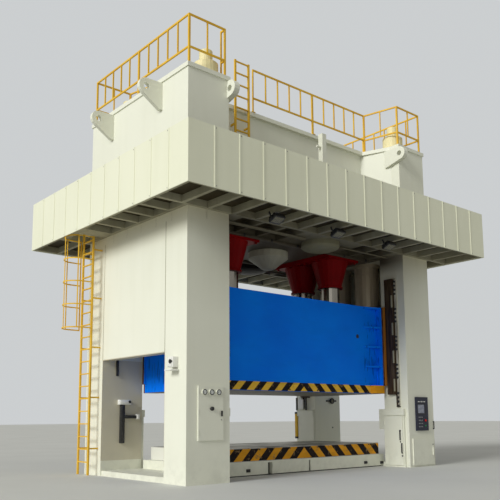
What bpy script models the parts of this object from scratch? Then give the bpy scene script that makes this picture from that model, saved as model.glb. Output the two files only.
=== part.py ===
"""Column frame hydraulic press with its slide, bolster, service platform and ladders.

Metres, +Z up. +X is to the right of someone who faces the press, and -Y is its front.
The origin is on the floor, under the centre of the service platform. The frame itself
stands a little in front of that point, because the platform reaches further out behind.
"""

import math

import bmesh
import bpy
from mathutils import Matrix, Vector

# Driving dimensions of the frame
FRAME_WIDTH = 8.40
FRAME_DEPTH = 4.30
COLUMN_WIDTH = 1.12
COLUMN_DEPTH = 0.80
CROWN_BOTTOM = 5.77
CROWN_TOP = 9.00

# Driving dimensions of the service platform
SIDE_OVERHANG = 0.90
FRONT_OVERHANG = 1.29
REAR_OVERHANG = 1.55
SKIRT_BOTTOM = 5.76
SKIRT_TOP = 7.02

# Clearances
SEAT_GAP = 0.0003
GUIDE_GAP = 0.0006
RAM_GAP = 0.002
OVERRUN = 0.05

# Bed and bolster
BED_SETBACK = 0.10
BED_HEIGHT = 0.33
BED_GROOVE_DEPTH = 0.25
BED_WIDE_GROOVE = 0.14
BED_NARROW_GROOVE = 0.06
BED_WIDE_GROOVE_X = -1.13
BED_NARROW_GROOVE_X = 0.20
TOE_HEIGHT = 0.025
TOE_DEPTH = 0.12
TOE_END = 0.04
BED_LIP = 0.04
SILL_HEIGHT = 0.12
SILL_INSET = 0.03
BOLSTER_WIDTH = 5.72
BOLSTER_HEIGHT = 0.31
SLOT_PITCH = 0.60
SLOT_THROAT = 0.042
SLOT_THROAT_DEPTH = 0.045
SLOT_HEAD = 0.076
SLOT_HEAD_DEPTH = 0.032
HAZARD_PLATE = 0.012
HAZARD_MARGIN = 0.015

# Tie rods
TIE_ROD_X = 3.40
TIE_ROD_Y = 1.71
TIE_ROD_RADIUS = 0.135
TIE_ROD_CLEARANCE = 0.01
TIE_ROD_END_RADIUS = 0.155
TIE_ROD_END_TOP = 0.70
TIE_ROD_NUT_RADIUS = 0.285
TIE_ROD_NUT_HEIGHT = 0.38
TIE_ROD_FOOT = 0.04
TIE_ROD_CHAMFER = 0.02

# Crown
RECESS_DEPTH = 1.14
SHORT_FACE = 0.28
DIAGONAL_RUN = 0.30
CAP_HEIGHT = 0.10
CAP_BLOCK_PROUD = 0.03
CAP_MIDDLE_PROUD = 0.10
LUG_THICKNESS = 0.10
LUG_END_RADIUS = 0.19
LUG_HOLE_RADIUS = 0.075
LUG_TOP_DROP = 0.12
SIDE_LUG_REACH = 0.42
SIDE_LUG_HEIGHT = 0.64
SIDE_LUG_FOOT = 0.08
SIDE_LUG_Y = 1.10
FRONT_LUG_REACH = 0.09
FRONT_LUG_HEIGHT = 0.50
FRONT_LUG_ROOT = 0.42

# Side panels over the side openings
SIDE_OPENING_TOP = 2.73
SIDE_PANEL_DEPTH = 0.25

# Service platform
PLATFORM_BEAM_DEPTH = 0.15
PLATFORM_BEAM_BOTTOM = 5.78
PLATFORM_BEAM_WIDTH = 0.09
PLATFORM_BEAM_PITCH = 0.66
DECK_THICKNESS = 0.010
SKIRT_THICKNESS = 0.020
SKIRT_PANEL_WIDTH = 0.64
SKIRT_STRIP_WIDTH = 0.035
SKIRT_STRIP_PROUD = 0.010
HATCH_WIDTH = 0.64
HATCH_DEPTH = 0.74

# Guard rails on the crown
RAIL_HEIGHT = 1.18
RAIL_LOWER_HEIGHT = 0.42
RAIL_BAR = 0.040
RAIL_THICKNESS = 0.034
RAIL_BALUSTER = 0.026
RAIL_POST = 0.056
RAIL_PITCH = 0.40
RAIL_INSET = 0.06
RAIL_RETURN = 0.16
RAIL_GATE_X = -1.44

# Ladders
LADDER_STILE = 0.050
LADDER_RUNG = 0.026
LADDER_RUNG_PITCH = 0.30
LADDER_THICKNESS = 0.040
CROWN_LADDER_X = -1.88
CROWN_LADDER_WIDTH = 0.48
CROWN_LADDER_STAND_OFF = 0.17
CAT_LADDER_Y = 1.75
CAT_LADDER_WIDTH = 0.56
CAT_LADDER_STAND_OFF = 0.25
CAT_LADDER_LOW = 0.02
CAT_BRACKET = 0.035
CAT_BRACKET_LEVELS = (0.62, 1.83, 3.04, 4.25, 5.46)
CAGE_BOTTOM = 3.50
CAGE_RADIUS = 0.33
CAGE_STRAIGHT = 0.268
CAGE_BAR = 0.030
CAGE_THICKNESS = 0.012
CAGE_HOOPS = 5
CAGE_STRAPS = 5

# Oil drums before and behind the crown, and the front one's standpipe
DRUM_X = 0.35
DRUM_Y = -1.62
DRUM_RADIUS = 0.50
DRUM_BOTTOM = 5.55
DRUM_DISH = 0.12
DRUM_TOP = 7.30
DRUM_COLLAR = 0.06
DRUM_COLLAR_HEIGHT = 0.03
REAR_DRUM_X = 0.75
STANDPIPE_OFFSET = 0.17
STANDPIPE_WIDTH = 0.15
STANDPIPE_TOP = 8.77
STANDPIPE_STUB = 0.14
STANDPIPE_STUB_RADIUS = 0.03
STANDPIPE_STUB_DROP = 0.37

# Main cylinders
CYLINDER_X = 1.85
CYLINDER_Y = 0.54
CYLINDER_TOP_RADIUS = 0.52
CYLINDER_BOTTOM_RADIUS = 0.32
CYLINDER_LIP = 0.035
CYLINDER_LIP_HEIGHT = 0.05
CYLINDER_BOTTOM = 4.90
CYLINDER_FLANGE_WIDTH = 1.20
CYLINDER_FLANGE_HEIGHT = 0.12
CYLINDER_BARREL_RADIUS = 0.355
CYLINDER_BARREL_TOP = 6.85
CYLINDER_END_WALL = 0.22
CYLINDER_BORE_CLEARANCE = 0.010
RAM_RADIUS = 0.27
RAM_TOP = 6.00
RAM_FOOT_RADIUS = 0.33
RAM_FOOT_HEIGHT = 0.06

# Pale housing in the middle, between the cylinders
CENTRE_TOP_RADIUS = 0.54
CENTRE_SHOULDER = 5.60
CENTRE_BOTTOM_RADIUS = 0.20
CENTRE_BOTTOM = 5.34
CENTRE_DISH = 0.05

# Return cylinders at the slide's two ends
RETURN_X = 3.43
RETURN_Y = 0.55
RETURN_RADIUS = 0.355
RETURN_FLANGE_RADIUS = 0.40
RETURN_FLANGE_HEIGHT = 0.09
RETURN_BOTTOM = 4.40
RETURN_END_WALL = 0.045
RETURN_ROD_RADIUS = 0.11
RETURN_ROD_TOP = 5.32
RETURN_BORE_RADIUS = 0.24
RETURN_PISTON_HEIGHT = 0.09
RETURN_GLAND_HEIGHT = 0.10

# Slide
SLIDE_BOTTOM = 1.97
SLIDE_TOP = 4.37
SLIDE_HALF_DEPTH = 1.28
SLIDE_HALF_WIDTH = 3.05
EAR_ROOT_X = 2.36
EAR_FOOT_X = 2.58
EAR_PLATE_X = 2.90
EAR_OUTER_X = 2.975
EAR_PROUD = 0.17
EAR_RIB = 0.05
EAR_RIB_ROOT = 0.015
EAR_RIB_SET = 0.02
EAR_BAYS = 4
SHOE_PROUD = 0.10
SHOE_LIP = 0.035
SLIDE_BAND_HEIGHT = 0.22
SLIDE_BRACKET_TOP = 3.93
SLIDE_BRACKET_HEIGHT = 0.36
SLIDE_BRACKET_HALF_DEPTH = 0.92
SLIDE_BRACKET_END = 3.76

# Guide rails on the columns
GUIDE_BOTTOM = 1.94
GUIDE_TOP = 5.15
GUIDE_DEPTH = 0.28
GUIDE_FLANGE_REACH = 0.07
GUIDE_FLANGE_THICKNESS = 0.04
GUIDE_TAIL_BOTTOM = 1.60

# Low cabinets on the columns' inner faces
CABINET_PROUD = 0.062
CABINET_FRONT_Y = 2.03
CABINET_REAR_MARGIN = 0.012
CABINET_HEIGHT = 1.40
CABINET_LID_HEIGHT = 0.15
CABINET_LID_PROUD = 0.095
CABINET_WALL = 0.045
CABINET_CAVITY = 0.21
CABINET_STUB_LENGTH = 0.23
CABINET_STUB_BOTTOM = 1.00
CABINET_STUB_DEPTH = 0.22
DOOR_THICKNESS = 0.030
LOW_DOOR_EDGE = 0.03
LOW_DOOR_BOTTOM = 0.05

# Gauge cabinet on the front left column
GAUGE_DOOR_LEFT = -3.92
GAUGE_DOOR_RIGHT = -3.27
GAUGE_DOOR_BOTTOM = 0.88
GAUGE_DOOR_TOP = 2.00
GAUGE_LEVEL = 1.87
GAUGE_PITCH = 0.185
GAUGE_RADIUS = 0.058
GAUGE_DEPTH = 0.035
GAUGE_RIM = 0.008
GAUGE_FACE_SET = 0.010
KNOB_LEVEL = 1.53
KNOB_X = -3.585
KNOB_RADIUS = 0.042
KNOB_DEPTH = 0.045
KNOB_SHANK_RADIUS = 0.014
KNOB_SHANK = 0.012
LATCH_X = -3.325
LATCH_LEVEL = 1.43
LATCH_WIDTH = 0.032
LATCH_LENGTH = 0.115
LATCH_DEPTH = 0.022
LATCH_STEM_RADIUS = 0.011
LATCH_STEM = 0.010
CAVITY_MARGIN = 0.05
CAVITY_DEPTH = 0.24

# Control panel on the front right column
PANEL_LEFT = 3.37
PANEL_RIGHT = 3.89
PANEL_BOTTOM = 0.96
PANEL_TOP = 1.865
PANEL_DEPTH = 0.05
SCREEN_LEFT = 3.43
SCREEN_RIGHT = 3.72
SCREEN_BOTTOM = 1.43
SCREEN_TOP = 1.66
SCREEN_SET = 0.012
BUTTON_X = 3.75
STOP_LEVEL = 1.23
STOP_RADIUS = 0.032
STOP_HEIGHT = 0.022
STOP_TRAVEL = 0.006
START_LEVEL = 1.09
START_RADIUS = 0.020
START_HEIGHT = 0.010
START_TRAVEL = 0.004
BUTTON_SHANK_RADIUS = 0.012
BUTTON_SHANK = 0.026
BUTTON_HOLE_CLEARANCE = 0.0005
BUTTON_REST_GAP = 0.001

# Lower door on the front right column
COLUMN_DOOR_LEFT = 3.20
COLUMN_DOOR_RIGHT = 4.12
COLUMN_DOOR_BOTTOM = 0.05
COLUMN_DOOR_TOP = 0.75

# Handles fixed on the doors
HANDLE_LENGTH = 0.22
HANDLE_WIDTH = 0.03
HANDLE_DEPTH = 0.02

ROUND_SIDES = 20
SMALL_SIDES = 16
FLAT_ANGLE = math.radians(0.1)

# Places that follow from the sizes above
HALF_WIDTH = FRAME_WIDTH / 2
HALF_DEPTH = FRAME_DEPTH / 2
INNER_X = HALF_WIDTH - COLUMN_WIDTH
INNER_Y = HALF_DEPTH - COLUMN_DEPTH
BED_HALF_DEPTH = INNER_Y - BED_SETBACK
FRAME_Y = (FRONT_OVERHANG - REAR_OVERHANG) / 2
MIDDLE_Y = HALF_DEPTH - RECESS_DEPTH
BOLSTER_TOP = BED_HEIGHT + SEAT_GAP + BOLSTER_HEIGHT
SKIRT_X = HALF_WIDTH + SIDE_OVERHANG
SKIRT_FRONT = -HALF_DEPTH - FRONT_OVERHANG
SKIRT_REAR = HALF_DEPTH + REAR_OVERHANG
BEAM_TOP = PLATFORM_BEAM_BOTTOM + PLATFORM_BEAM_DEPTH
DECK_TOP = BEAM_TOP + SEAT_GAP + DECK_THICKNESS
CAT_LADDER_X = -HALF_WIDTH - CAT_LADDER_STAND_OFF
EAR_Y = SLIDE_HALF_DEPTH + EAR_PROUD
SHOE_Y = EAR_Y + SHOE_PROUD
SLOT_COUNT = 2 * int((EAR_FOOT_X - SLOT_HEAD) / SLOT_PITCH) + 1
DRUM_PLACES = ((DRUM_X, DRUM_Y), (REAR_DRUM_X, -DRUM_Y))
CORNERS = {
    "front_left": (-1, -1),
    "front_right": (1, -1),
    "rear_left": (-1, 1),
    "rear_right": (1, 1),
}

for old in list(bpy.data.objects):
    bpy.data.objects.remove(old, do_unlink=True)

PARTS = bpy.data.collections.new("hydraulic_press")
CUTTERS = bpy.data.collections.new("cutters")
for group in (PARTS, CUTTERS):
    bpy.context.scene.collection.children.link(group)

FRAME_CENTRE = bpy.data.objects.new("frame_centre", None)
FRAME_CENTRE.location = (0, FRAME_Y, 0)
PARTS.objects.link(FRAME_CENTRE)
SLIDE_AXIS = bpy.data.objects.new("slide_axis", None)
SLIDE_AXIS.parent = FRAME_CENTRE
PARTS.objects.link(SLIDE_AXIS)


def paint(name, colour, roughness, metallic=0.0):
    """Make a plain material for a group of pieces."""
    material = bpy.data.materials.new(name)
    material.use_nodes = True
    shader = material.node_tree.nodes["Principled BSDF"]
    shader.inputs["Base Color"].default_value = (*colour, 1.0)
    shader.inputs["Roughness"].default_value = roughness
    shader.inputs["Metallic"].default_value = metallic
    return material


CREAM = paint("cream_paint", (0.76, 0.77, 0.70), 0.45)
SLIDE_BLUE = paint("slide_blue", (0.005, 0.10, 0.42), 0.4)
SAFETY_YELLOW = paint("safety_yellow", (0.80, 0.42, 0.04), 0.45)
HAZARD_ORANGE = paint("hazard_orange", (0.78, 0.34, 0.03), 0.5)
CYLINDER_RED = paint("cylinder_red", (0.30, 0.01, 0.01), 0.4)
CHROME = paint("hard_chrome", (0.75, 0.76, 0.78), 0.12, 1.0)
BARE_STEEL = paint("bare_steel", (0.42, 0.41, 0.38), 0.4, 1.0)
GUIDE_BRONZE = paint("guide_bronze", (0.12, 0.06, 0.03), 0.5, 0.6)
GIRDER_GREY = paint("girder_grey", (0.30, 0.30, 0.27), 0.6)
NUT_CREAM = paint("nut_cream", (0.78, 0.70, 0.42), 0.45)
BLACK = paint("black_plastic", (0.02, 0.02, 0.02), 0.4)
STOP_RED = paint("stop_red", (0.6, 0.02, 0.02), 0.35)
START_GREEN = paint("start_green", (0.02, 0.35, 0.08), 0.35)


def keep(item, material, parent=FRAME_CENTRE):
    """Put a finished piece in the press, under the empty that carries it."""
    item.data.materials.clear()
    item.data.materials.append(material)
    PARTS.objects.link(item)
    item.parent = parent
    return item


def add_object(name, shape, place):
    """Turn a bmesh into an object at a place."""
    mesh = bpy.data.meshes.new(name)
    shape.to_mesh(mesh)
    shape.free()
    item = bpy.data.objects.new(name, mesh)
    item.location = place
    return item


def box(name, low, high):
    """A block between two corners."""
    size = Vector(high) - Vector(low)
    shape = bmesh.new()
    bmesh.ops.create_cube(shape, size=1.0, matrix=Matrix.Diagonal((*size, 1.0)))
    return add_object(name, shape, (Vector(low) + Vector(high)) / 2)


def corner_box(name, x_span, y_span, z_span, side_x, side_y):
    """A block given for the +X, +Y corner of the press and mirrored to another."""
    xs = sorted(side_x * x for x in x_span)
    ys = sorted(side_y * y for y in y_span)
    return box(name, (xs[0], ys[0], z_span[0]), (xs[1], ys[1], z_span[1]))


def cylinder(name, radius, start, end, sides=ROUND_SIDES):
    """A round bar between two points."""
    start, end = Vector(start), Vector(end)
    axis = end - start
    shape = bmesh.new()
    bmesh.ops.create_cone(shape, cap_ends=True, segments=sides,
                          radius1=radius, radius2=radius, depth=axis.length)
    item = add_object(name, shape, (start + end) / 2)
    item.rotation_euler = axis.to_track_quat("Z", "Y").to_euler()
    return item


def turned(name, profile, place, sides=ROUND_SIDES, tilt=(0, 0, 0)):
    """Spin a profile of radius and height pairs, given from its top down."""
    shape = bmesh.new()
    points = [shape.verts.new((radius, 0, height)) for radius, height in profile]
    for upper, lower in zip(points, points[1:]):
        shape.edges.new((upper, lower))
    item = add_object(name, shape, place)
    item.rotation_euler = tilt
    screw = item.modifiers.new("Turn", "SCREW")
    screw.steps = sides
    screw.render_steps = sides
    screw.use_merge_vertices = True
    screw.merge_threshold = 0.0001
    item.data.shade_smooth()
    return item


def prism(name, outline, start, end, holes=(), axis="Z"):
    """Extrude a flat outline and its holes along an axis."""
    curve = bpy.data.curves.new(name, "CURVE")
    curve.dimensions = "2D"
    curve.fill_mode = "BOTH"
    curve.extrude = abs(end - start) / 2
    for loop in (outline, *holes):
        spline = curve.splines.new("POLY")
        spline.points.add(len(loop) - 1)
        for point, (across, along) in zip(spline.points, loop):
            point.co = (across, along, 0, 1)
        spline.use_cyclic_u = True
    drawn = bpy.data.objects.new(name + "_outline", curve)
    CUTTERS.objects.link(drawn)
    graph = bpy.context.evaluated_depsgraph_get()
    mesh = bpy.data.meshes.new_from_object(drawn.evaluated_get(graph))
    bpy.data.objects.remove(drawn)
    shape = bmesh.new()
    shape.from_mesh(mesh)
    bpy.data.meshes.remove(mesh)
    bmesh.ops.remove_doubles(shape, verts=shape.verts, dist=SEAT_GAP / 10)
    bmesh.ops.dissolve_limit(shape, angle_limit=FLAT_ANGLE, verts=shape.verts, edges=shape.edges)
    bmesh.ops.recalc_face_normals(shape, faces=shape.faces)
    middle = (start + end) / 2
    if axis == "X":
        turn = Matrix(((0, 0, 1), (1, 0, 0), (0, 1, 0)))
        place = (middle, 0, 0)
    elif axis == "Y":
        turn = Matrix(((1, 0, 0), (0, 0, -1), (0, 1, 0)))
        place = (0, middle, 0)
    else:
        turn = Matrix.Identity(3)
        place = (0, 0, middle)
    shape.transform(turn.to_4x4())
    return add_object(name, shape, place)


def combine(item, tool, operation):
    """Join a tool piece to an item, or cut it away."""
    tool.hide_render = True
    tool.display_type = "WIRE"
    CUTTERS.objects.link(tool)
    tool.parent = FRAME_CENTRE
    change = item.modifiers.new(operation.title(), "BOOLEAN")
    change.operation = operation
    change.solver = "EXACT"
    change.object = tool


def join(item, tool):
    combine(item, tool, "UNION")


def cut(item, tool):
    combine(item, tool, "DIFFERENCE")


def set_pivot(item, point):
    """Move an object's origin to a point and leave its shape where it is."""
    shift = item.location - Vector(point)
    item.data.transform(Matrix.Translation(shift))
    item.location = point


def bevel_edges(item, width):
    """Take the sharp outer edges off a block."""
    bevel = item.modifiers.new("Edges", "BEVEL")
    bevel.width = width
    bevel.segments = 1
    bevel.limit_method = "ANGLE"


def circle(centre, radius, sides, start=0.0, sweep=2 * math.pi):
    """Points on an arc, both ends included unless it is a whole circle."""
    whole = math.isclose(sweep, 2 * math.pi)
    steps = sides if whole else sides + 1
    points = []
    for step in range(steps):
        angle = start + sweep * step / sides
        points.append((centre[0] + radius * math.cos(angle),
                       centre[1] + radius * math.sin(angle)))
    return points


def rectangle(left, right, low, high):
    return [(left, low), (right, low), (right, high), (left, high)]


def mirrored(points, side_x, side_y):
    return [(side_x * x, side_y * y) for x, y in points]


def crown_outline(block_grow, middle_grow):
    """Plan of the crown: two end blocks and a recessed middle with slanted shoulders."""
    outer_x = HALF_WIDTH + block_grow
    outer_y = HALF_DEPTH + block_grow
    block_x = INNER_X - block_grow
    corner = [
        (outer_x, outer_y),
        (block_x, outer_y),
        (block_x, HALF_DEPTH - SHORT_FACE),
        (block_x - DIAGONAL_RUN, MIDDLE_Y + middle_grow),
    ]
    return (corner + mirrored(corner[::-1], -1, 1)
            + mirrored(corner, -1, -1) + mirrored(corner[::-1], 1, -1))


def path_lengths(path):
    """Distance from the start of a path to each of its corners."""
    lengths = [0.0]
    for here, there in zip(path, path[1:]):
        lengths.append(lengths[-1] + math.dist(here, there))
    return lengths


def path_point(path, distance):
    """The point that lies a distance along a path."""
    lengths = path_lengths(path)
    for step in range(len(path) - 1):
        if distance <= lengths[step + 1] or step == len(path) - 2:
            share = (distance - lengths[step]) / (lengths[step + 1] - lengths[step])
            return [a + (b - a) * share for a, b in zip(path[step], path[step + 1])]


def lattice(name, path, stations, levels, is_solid, thickness):
    """Fold a flat grid along a path, open its windows and give it a thickness."""
    wide, tall = len(stations) - 1, len(levels) - 1
    shape = bmesh.new()
    bmesh.ops.create_grid(shape, x_segments=wide, y_segments=tall, size=1.0)
    windows = []
    for face in shape.faces:
        middle = face.calc_center_median()
        column = math.floor((middle.x + 1) / 2 * wide)
        row = math.floor((middle.y + 1) / 2 * tall)
        if not is_solid(column, row):
            windows.append(face)
    for corner in shape.verts:
        column = round((corner.co.x + 1) / 2 * wide)
        row = round((corner.co.y + 1) / 2 * tall)
        corner.co = (*path_point(path, stations[column]), levels[row])
    bmesh.ops.delete(shape, geom=windows, context="FACES")
    item = add_object(name, shape, (0, 0, 0))
    wall = item.modifiers.new("Wall", "SOLIDIFY")
    wall.thickness = thickness
    wall.offset = 0.0
    wall.use_even_offset = True
    return item


def make_bed():
    """Bed block between the columns, with sills that reach between the column feet."""
    half_x = INNER_X - SEAT_GAP
    half_y = BED_HALF_DEPTH
    bed = box("bed", (-half_x, -half_y, 0), (half_x, half_y, BED_HEIGHT))
    for side in (-1, 1):
        sill = corner_box("sill", (half_x - OVERRUN, HALF_WIDTH - SILL_INSET),
                          (-INNER_Y + SEAT_GAP, INNER_Y - SEAT_GAP), (0, SILL_HEIGHT), side, 1)
        join(bed, sill)
    grooves = ((BED_WIDE_GROOVE_X, BED_WIDE_GROOVE), (BED_NARROW_GROOVE_X, BED_NARROW_GROOVE))
    for centre, width in grooves:
        cut(bed, box("groove", (centre - width / 2, -half_y - OVERRUN, TOE_HEIGHT),
                     (centre + width / 2, -half_y + BED_GROOVE_DEPTH, BED_HEIGHT - BED_LIP)))
    cut(bed, box("toe", (-half_x + TOE_END, -half_y - OVERRUN, -OVERRUN),
                 (half_x - TOE_END, -half_y + TOE_DEPTH, TOE_HEIGHT)))
    return keep(bed, CREAM)


def slot_outline(x, mouth, inward):
    """Section of a T slot whose mouth is at a level and whose depth runs one way."""
    throat_end = mouth + inward * SLOT_THROAT_DEPTH
    head_end = throat_end + inward * SLOT_HEAD_DEPTH
    outside = mouth - inward * OVERRUN
    throat, head = SLOT_THROAT / 2, SLOT_HEAD / 2
    return [(x - throat, outside), (x + throat, outside), (x + throat, throat_end),
            (x + head, throat_end), (x + head, head_end), (x - head, head_end),
            (x - head, throat_end), (x - throat, throat_end)]


def cut_slots(item, mouth, inward, half_length):
    """Cut the row of T slots that run from front to back."""
    for number in range(SLOT_COUNT):
        x = (number - (SLOT_COUNT - 1) / 2) * SLOT_PITCH
        cut(item, prism("slot", slot_outline(x, mouth, inward),
                        -half_length - OVERRUN, half_length + OVERRUN, axis="Y"))


def make_bolster():
    """Bolster plate with T slots, and the striped plate on its front edge."""
    half_x, half_y = BOLSTER_WIDTH / 2, BED_HALF_DEPTH
    base = BED_HEIGHT + SEAT_GAP
    bolster = box("bolster", (-half_x, -half_y, base), (half_x, half_y, BOLSTER_TOP))
    cut_slots(bolster, BOLSTER_TOP, -1, half_y)
    keep(bolster, BARE_STEEL)
    face = -half_y - SEAT_GAP
    plate = box("bolster_hazard_plate", (-half_x, face - HAZARD_PLATE, base + HAZARD_MARGIN),
                (half_x, face, BOLSTER_TOP - HAZARD_MARGIN))
    bevel_edges(plate, HAZARD_PLATE / 4)
    keep(plate, HAZARD_ORANGE)


def make_columns():
    """Four columns bored for the tie rods, with low cabinets on their inner faces."""
    for corner, (side_x, side_y) in CORNERS.items():
        column = corner_box("column_" + corner, (INNER_X, HALF_WIDTH), (INNER_Y, HALF_DEPTH),
                            (0, CROWN_BOTTOM - SEAT_GAP), side_x, side_y)
        rear = INNER_Y + CABINET_REAR_MARGIN
        join(column, corner_box("cabinet", (INNER_X - CABINET_PROUD, INNER_X + OVERRUN),
                                (rear, CABINET_FRONT_Y), (0, CABINET_HEIGHT), side_x, side_y))
        join(column, corner_box("lid", (INNER_X - CABINET_LID_PROUD, INNER_X + OVERRUN),
                                (rear, CABINET_FRONT_Y + TOE_HEIGHT),
                                (CABINET_HEIGHT - TOE_HEIGHT, CABINET_HEIGHT + CABINET_LID_HEIGHT),
                                side_x, side_y))
        cut(column, cylinder("rod_bore", TIE_ROD_RADIUS + TIE_ROD_CLEARANCE,
                             (side_x * TIE_ROD_X, side_y * TIE_ROD_Y, -OVERRUN),
                             (side_x * TIE_ROD_X, side_y * TIE_ROD_Y, CROWN_BOTTOM + OVERRUN)))
        if side_y < 0:
            join(column, corner_box("stub", (INNER_X + TOE_HEIGHT, INNER_X + CABINET_STUB_DEPTH),
                                    (INNER_Y - CABINET_STUB_LENGTH, INNER_Y + OVERRUN),
                                    (CABINET_STUB_BOTTOM, CABINET_HEIGHT + CABINET_LID_HEIGHT),
                                    side_x, side_y))
            cavity_y = (rear + CABINET_WALL, CABINET_FRONT_Y - CABINET_WALL)
            cut(column, corner_box("cabinet_cavity",
                                   (INNER_X - CABINET_PROUD - OVERRUN, INNER_X + CABINET_CAVITY
                                    - CABINET_PROUD), cavity_y,
                                   (LOW_DOOR_BOTTOM + CABINET_WALL, CABINET_HEIGHT
                                    - 2 * CABINET_WALL), side_x, side_y))
        if corner == "front_left":
            cut(column, front_cavity(GAUGE_DOOR_LEFT, GAUGE_DOOR_RIGHT,
                                     GAUGE_DOOR_BOTTOM, GAUGE_DOOR_TOP))
        if corner == "front_right":
            cut(column, front_cavity(COLUMN_DOOR_LEFT, COLUMN_DOOR_RIGHT,
                                     COLUMN_DOOR_BOTTOM, COLUMN_DOOR_TOP))
        keep(column, CREAM)


def front_cavity(left, right, bottom, top):
    """The shallow hollow behind a door on a column's front."""
    return box("front_cavity", (left + CAVITY_MARGIN, -HALF_DEPTH - OVERRUN, bottom + CAVITY_MARGIN),
               (right - CAVITY_MARGIN, -HALF_DEPTH + CAVITY_DEPTH, top - CAVITY_MARGIN))


def make_side_panels():
    """Deep panels that close the frame's sides over the openings."""
    for name, side in (("side_panel_left", -1), ("side_panel_right", 1)):
        panel = corner_box(name, (HALF_WIDTH - SIDE_PANEL_DEPTH, HALF_WIDTH),
                           (-INNER_Y + SEAT_GAP, INNER_Y - SEAT_GAP),
                           (SIDE_OPENING_TOP, CROWN_BOTTOM - SEAT_GAP), side, 1)
        keep(panel, CREAM)


def lug_outline(face, way, reach, height, foot, root):
    """Outline of a lifting lug: out from a face, round at its end, slanted below."""
    top = CROWN_TOP - LUG_TOP_DROP
    centre = (reach, top - LUG_END_RADIUS)
    points = [(-root, top - height), (foot, top - height)]
    points += circle(centre, LUG_END_RADIUS, 7, -math.pi / 3, math.pi / 3 + math.pi / 2)
    points.append((-root, top))
    hole = circle(centre, LUG_HOLE_RADIUS, 12)
    return ([(face + way * out, level) for out, level in points],
            [(face + way * out, level) for out, level in hole])


def make_crown():
    """Crown: a plan outline with a proud cap, lifting lugs and bores."""
    crown = prism("crown", crown_outline(0, 0), CROWN_BOTTOM, CROWN_TOP - CAP_HEIGHT / 2)
    join(crown, prism("cap", crown_outline(CAP_BLOCK_PROUD, CAP_MIDDLE_PROUD),
                      CROWN_TOP - CAP_HEIGHT, CROWN_TOP))
    for side_x in (-1, 1):
        outline, hole = lug_outline(side_x * HALF_WIDTH, side_x, SIDE_LUG_REACH,
                                    SIDE_LUG_HEIGHT, SIDE_LUG_FOOT, OVERRUN)
        for y in (-SIDE_LUG_Y, SIDE_LUG_Y):
            join(crown, prism("side_lug", outline, y - LUG_THICKNESS / 2, y + LUG_THICKNESS / 2,
                              holes=(hole,), axis="Y"))
        for side_y in (-1, 1):
            outline, hole = lug_outline(side_y * HALF_DEPTH, side_y, FRONT_LUG_REACH,
                                        FRONT_LUG_HEIGHT, -FRONT_LUG_ROOT, FRONT_LUG_ROOT)
            inner = side_x * (INNER_X - LUG_THICKNESS)
            join(crown, prism("front_lug", outline, inner, side_x * (INNER_X + OVERRUN),
                              holes=(hole,), axis="X"))
    for side_x, side_y in CORNERS.values():
        rod = (side_x * TIE_ROD_X, side_y * TIE_ROD_Y)
        cut(crown, cylinder("rod_bore", TIE_ROD_RADIUS + TIE_ROD_CLEARANCE,
                            (*rod, CROWN_BOTTOM - OVERRUN), (*rod, CROWN_TOP + OVERRUN)))
        barrel = (side_x * CYLINDER_X, side_y * CYLINDER_Y)
        cut(crown, cylinder("barrel_bore", CYLINDER_BARREL_RADIUS + CYLINDER_BORE_CLEARANCE,
                            (*barrel, CROWN_BOTTOM - OVERRUN),
                            (*barrel, CYLINDER_BARREL_TOP + OVERRUN)))
    keep(crown, CREAM)


def make_tie_rods():
    """Tie rods through column and crown, each with its round nut and end."""
    for corner, (side_x, side_y) in CORNERS.items():
        nut_seat = CROWN_TOP + SEAT_GAP
        nut_top = nut_seat + TIE_ROD_NUT_HEIGHT
        end_top = CROWN_TOP + TIE_ROD_END_TOP
        profile = [
            (0, end_top),
            (TIE_ROD_END_RADIUS - TIE_ROD_CHAMFER, end_top),
            (TIE_ROD_END_RADIUS, end_top - TIE_ROD_CHAMFER),
            (TIE_ROD_END_RADIUS, nut_top),
            (TIE_ROD_NUT_RADIUS - TIE_ROD_CHAMFER, nut_top),
            (TIE_ROD_NUT_RADIUS, nut_top - TIE_ROD_CHAMFER),
            (TIE_ROD_NUT_RADIUS, nut_seat),
            (TIE_ROD_RADIUS, nut_seat),
            (TIE_ROD_RADIUS, TIE_ROD_FOOT),
            (0, TIE_ROD_FOOT),
        ]
        rod = turned("tie_rod_" + corner, profile, (side_x * TIE_ROD_X, side_y * TIE_ROD_Y, 0))
        keep(rod, NUT_CREAM)


def spaced(low, high, pitch):
    """Even steps from low to high, as near to a pitch as they come."""
    count = max(1, round((high - low) / pitch))
    return [low + (high - low) * step / count for step in range(count + 1)]


def bay_windows(left, right, low, high, along_y=False):
    """Openings between the joists of one bay of the platform."""
    half = PLATFORM_BEAM_WIDTH / 2
    if along_y:
        steps = spaced(low, high, PLATFORM_BEAM_PITCH)
        return [rectangle(left + half, right - half, here + half, there - half)
                for here, there in zip(steps, steps[1:])]
    steps = spaced(left, right, PLATFORM_BEAM_PITCH)
    return [rectangle(here + half, there - half, low + half, high - half)
            for here, there in zip(steps, steps[1:])]


def is_clear(window, blocker):
    """Whether a window keeps a joist's width away from another opening."""
    reach = PLATFORM_BEAM_WIDTH / 2
    xs, ys = zip(*blocker)
    return (window[1][0] < min(xs) - reach or window[0][0] > max(xs) + reach
            or window[2][1] < min(ys) - reach or window[0][1] > max(ys) + reach)


def platform_outline(inset):
    return rectangle(-SKIRT_X + inset, SKIRT_X - inset, SKIRT_FRONT + inset, SKIRT_REAR - inset)


def hatch_outline():
    """Opening of the platform over the wall ladder."""
    outer = -HALF_WIDTH - PLATFORM_BEAM_WIDTH / 2
    return rectangle(outer - HATCH_WIDTH, outer, CAT_LADDER_Y - HATCH_DEPTH / 2,
                     CAT_LADDER_Y + HATCH_DEPTH / 2)


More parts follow.
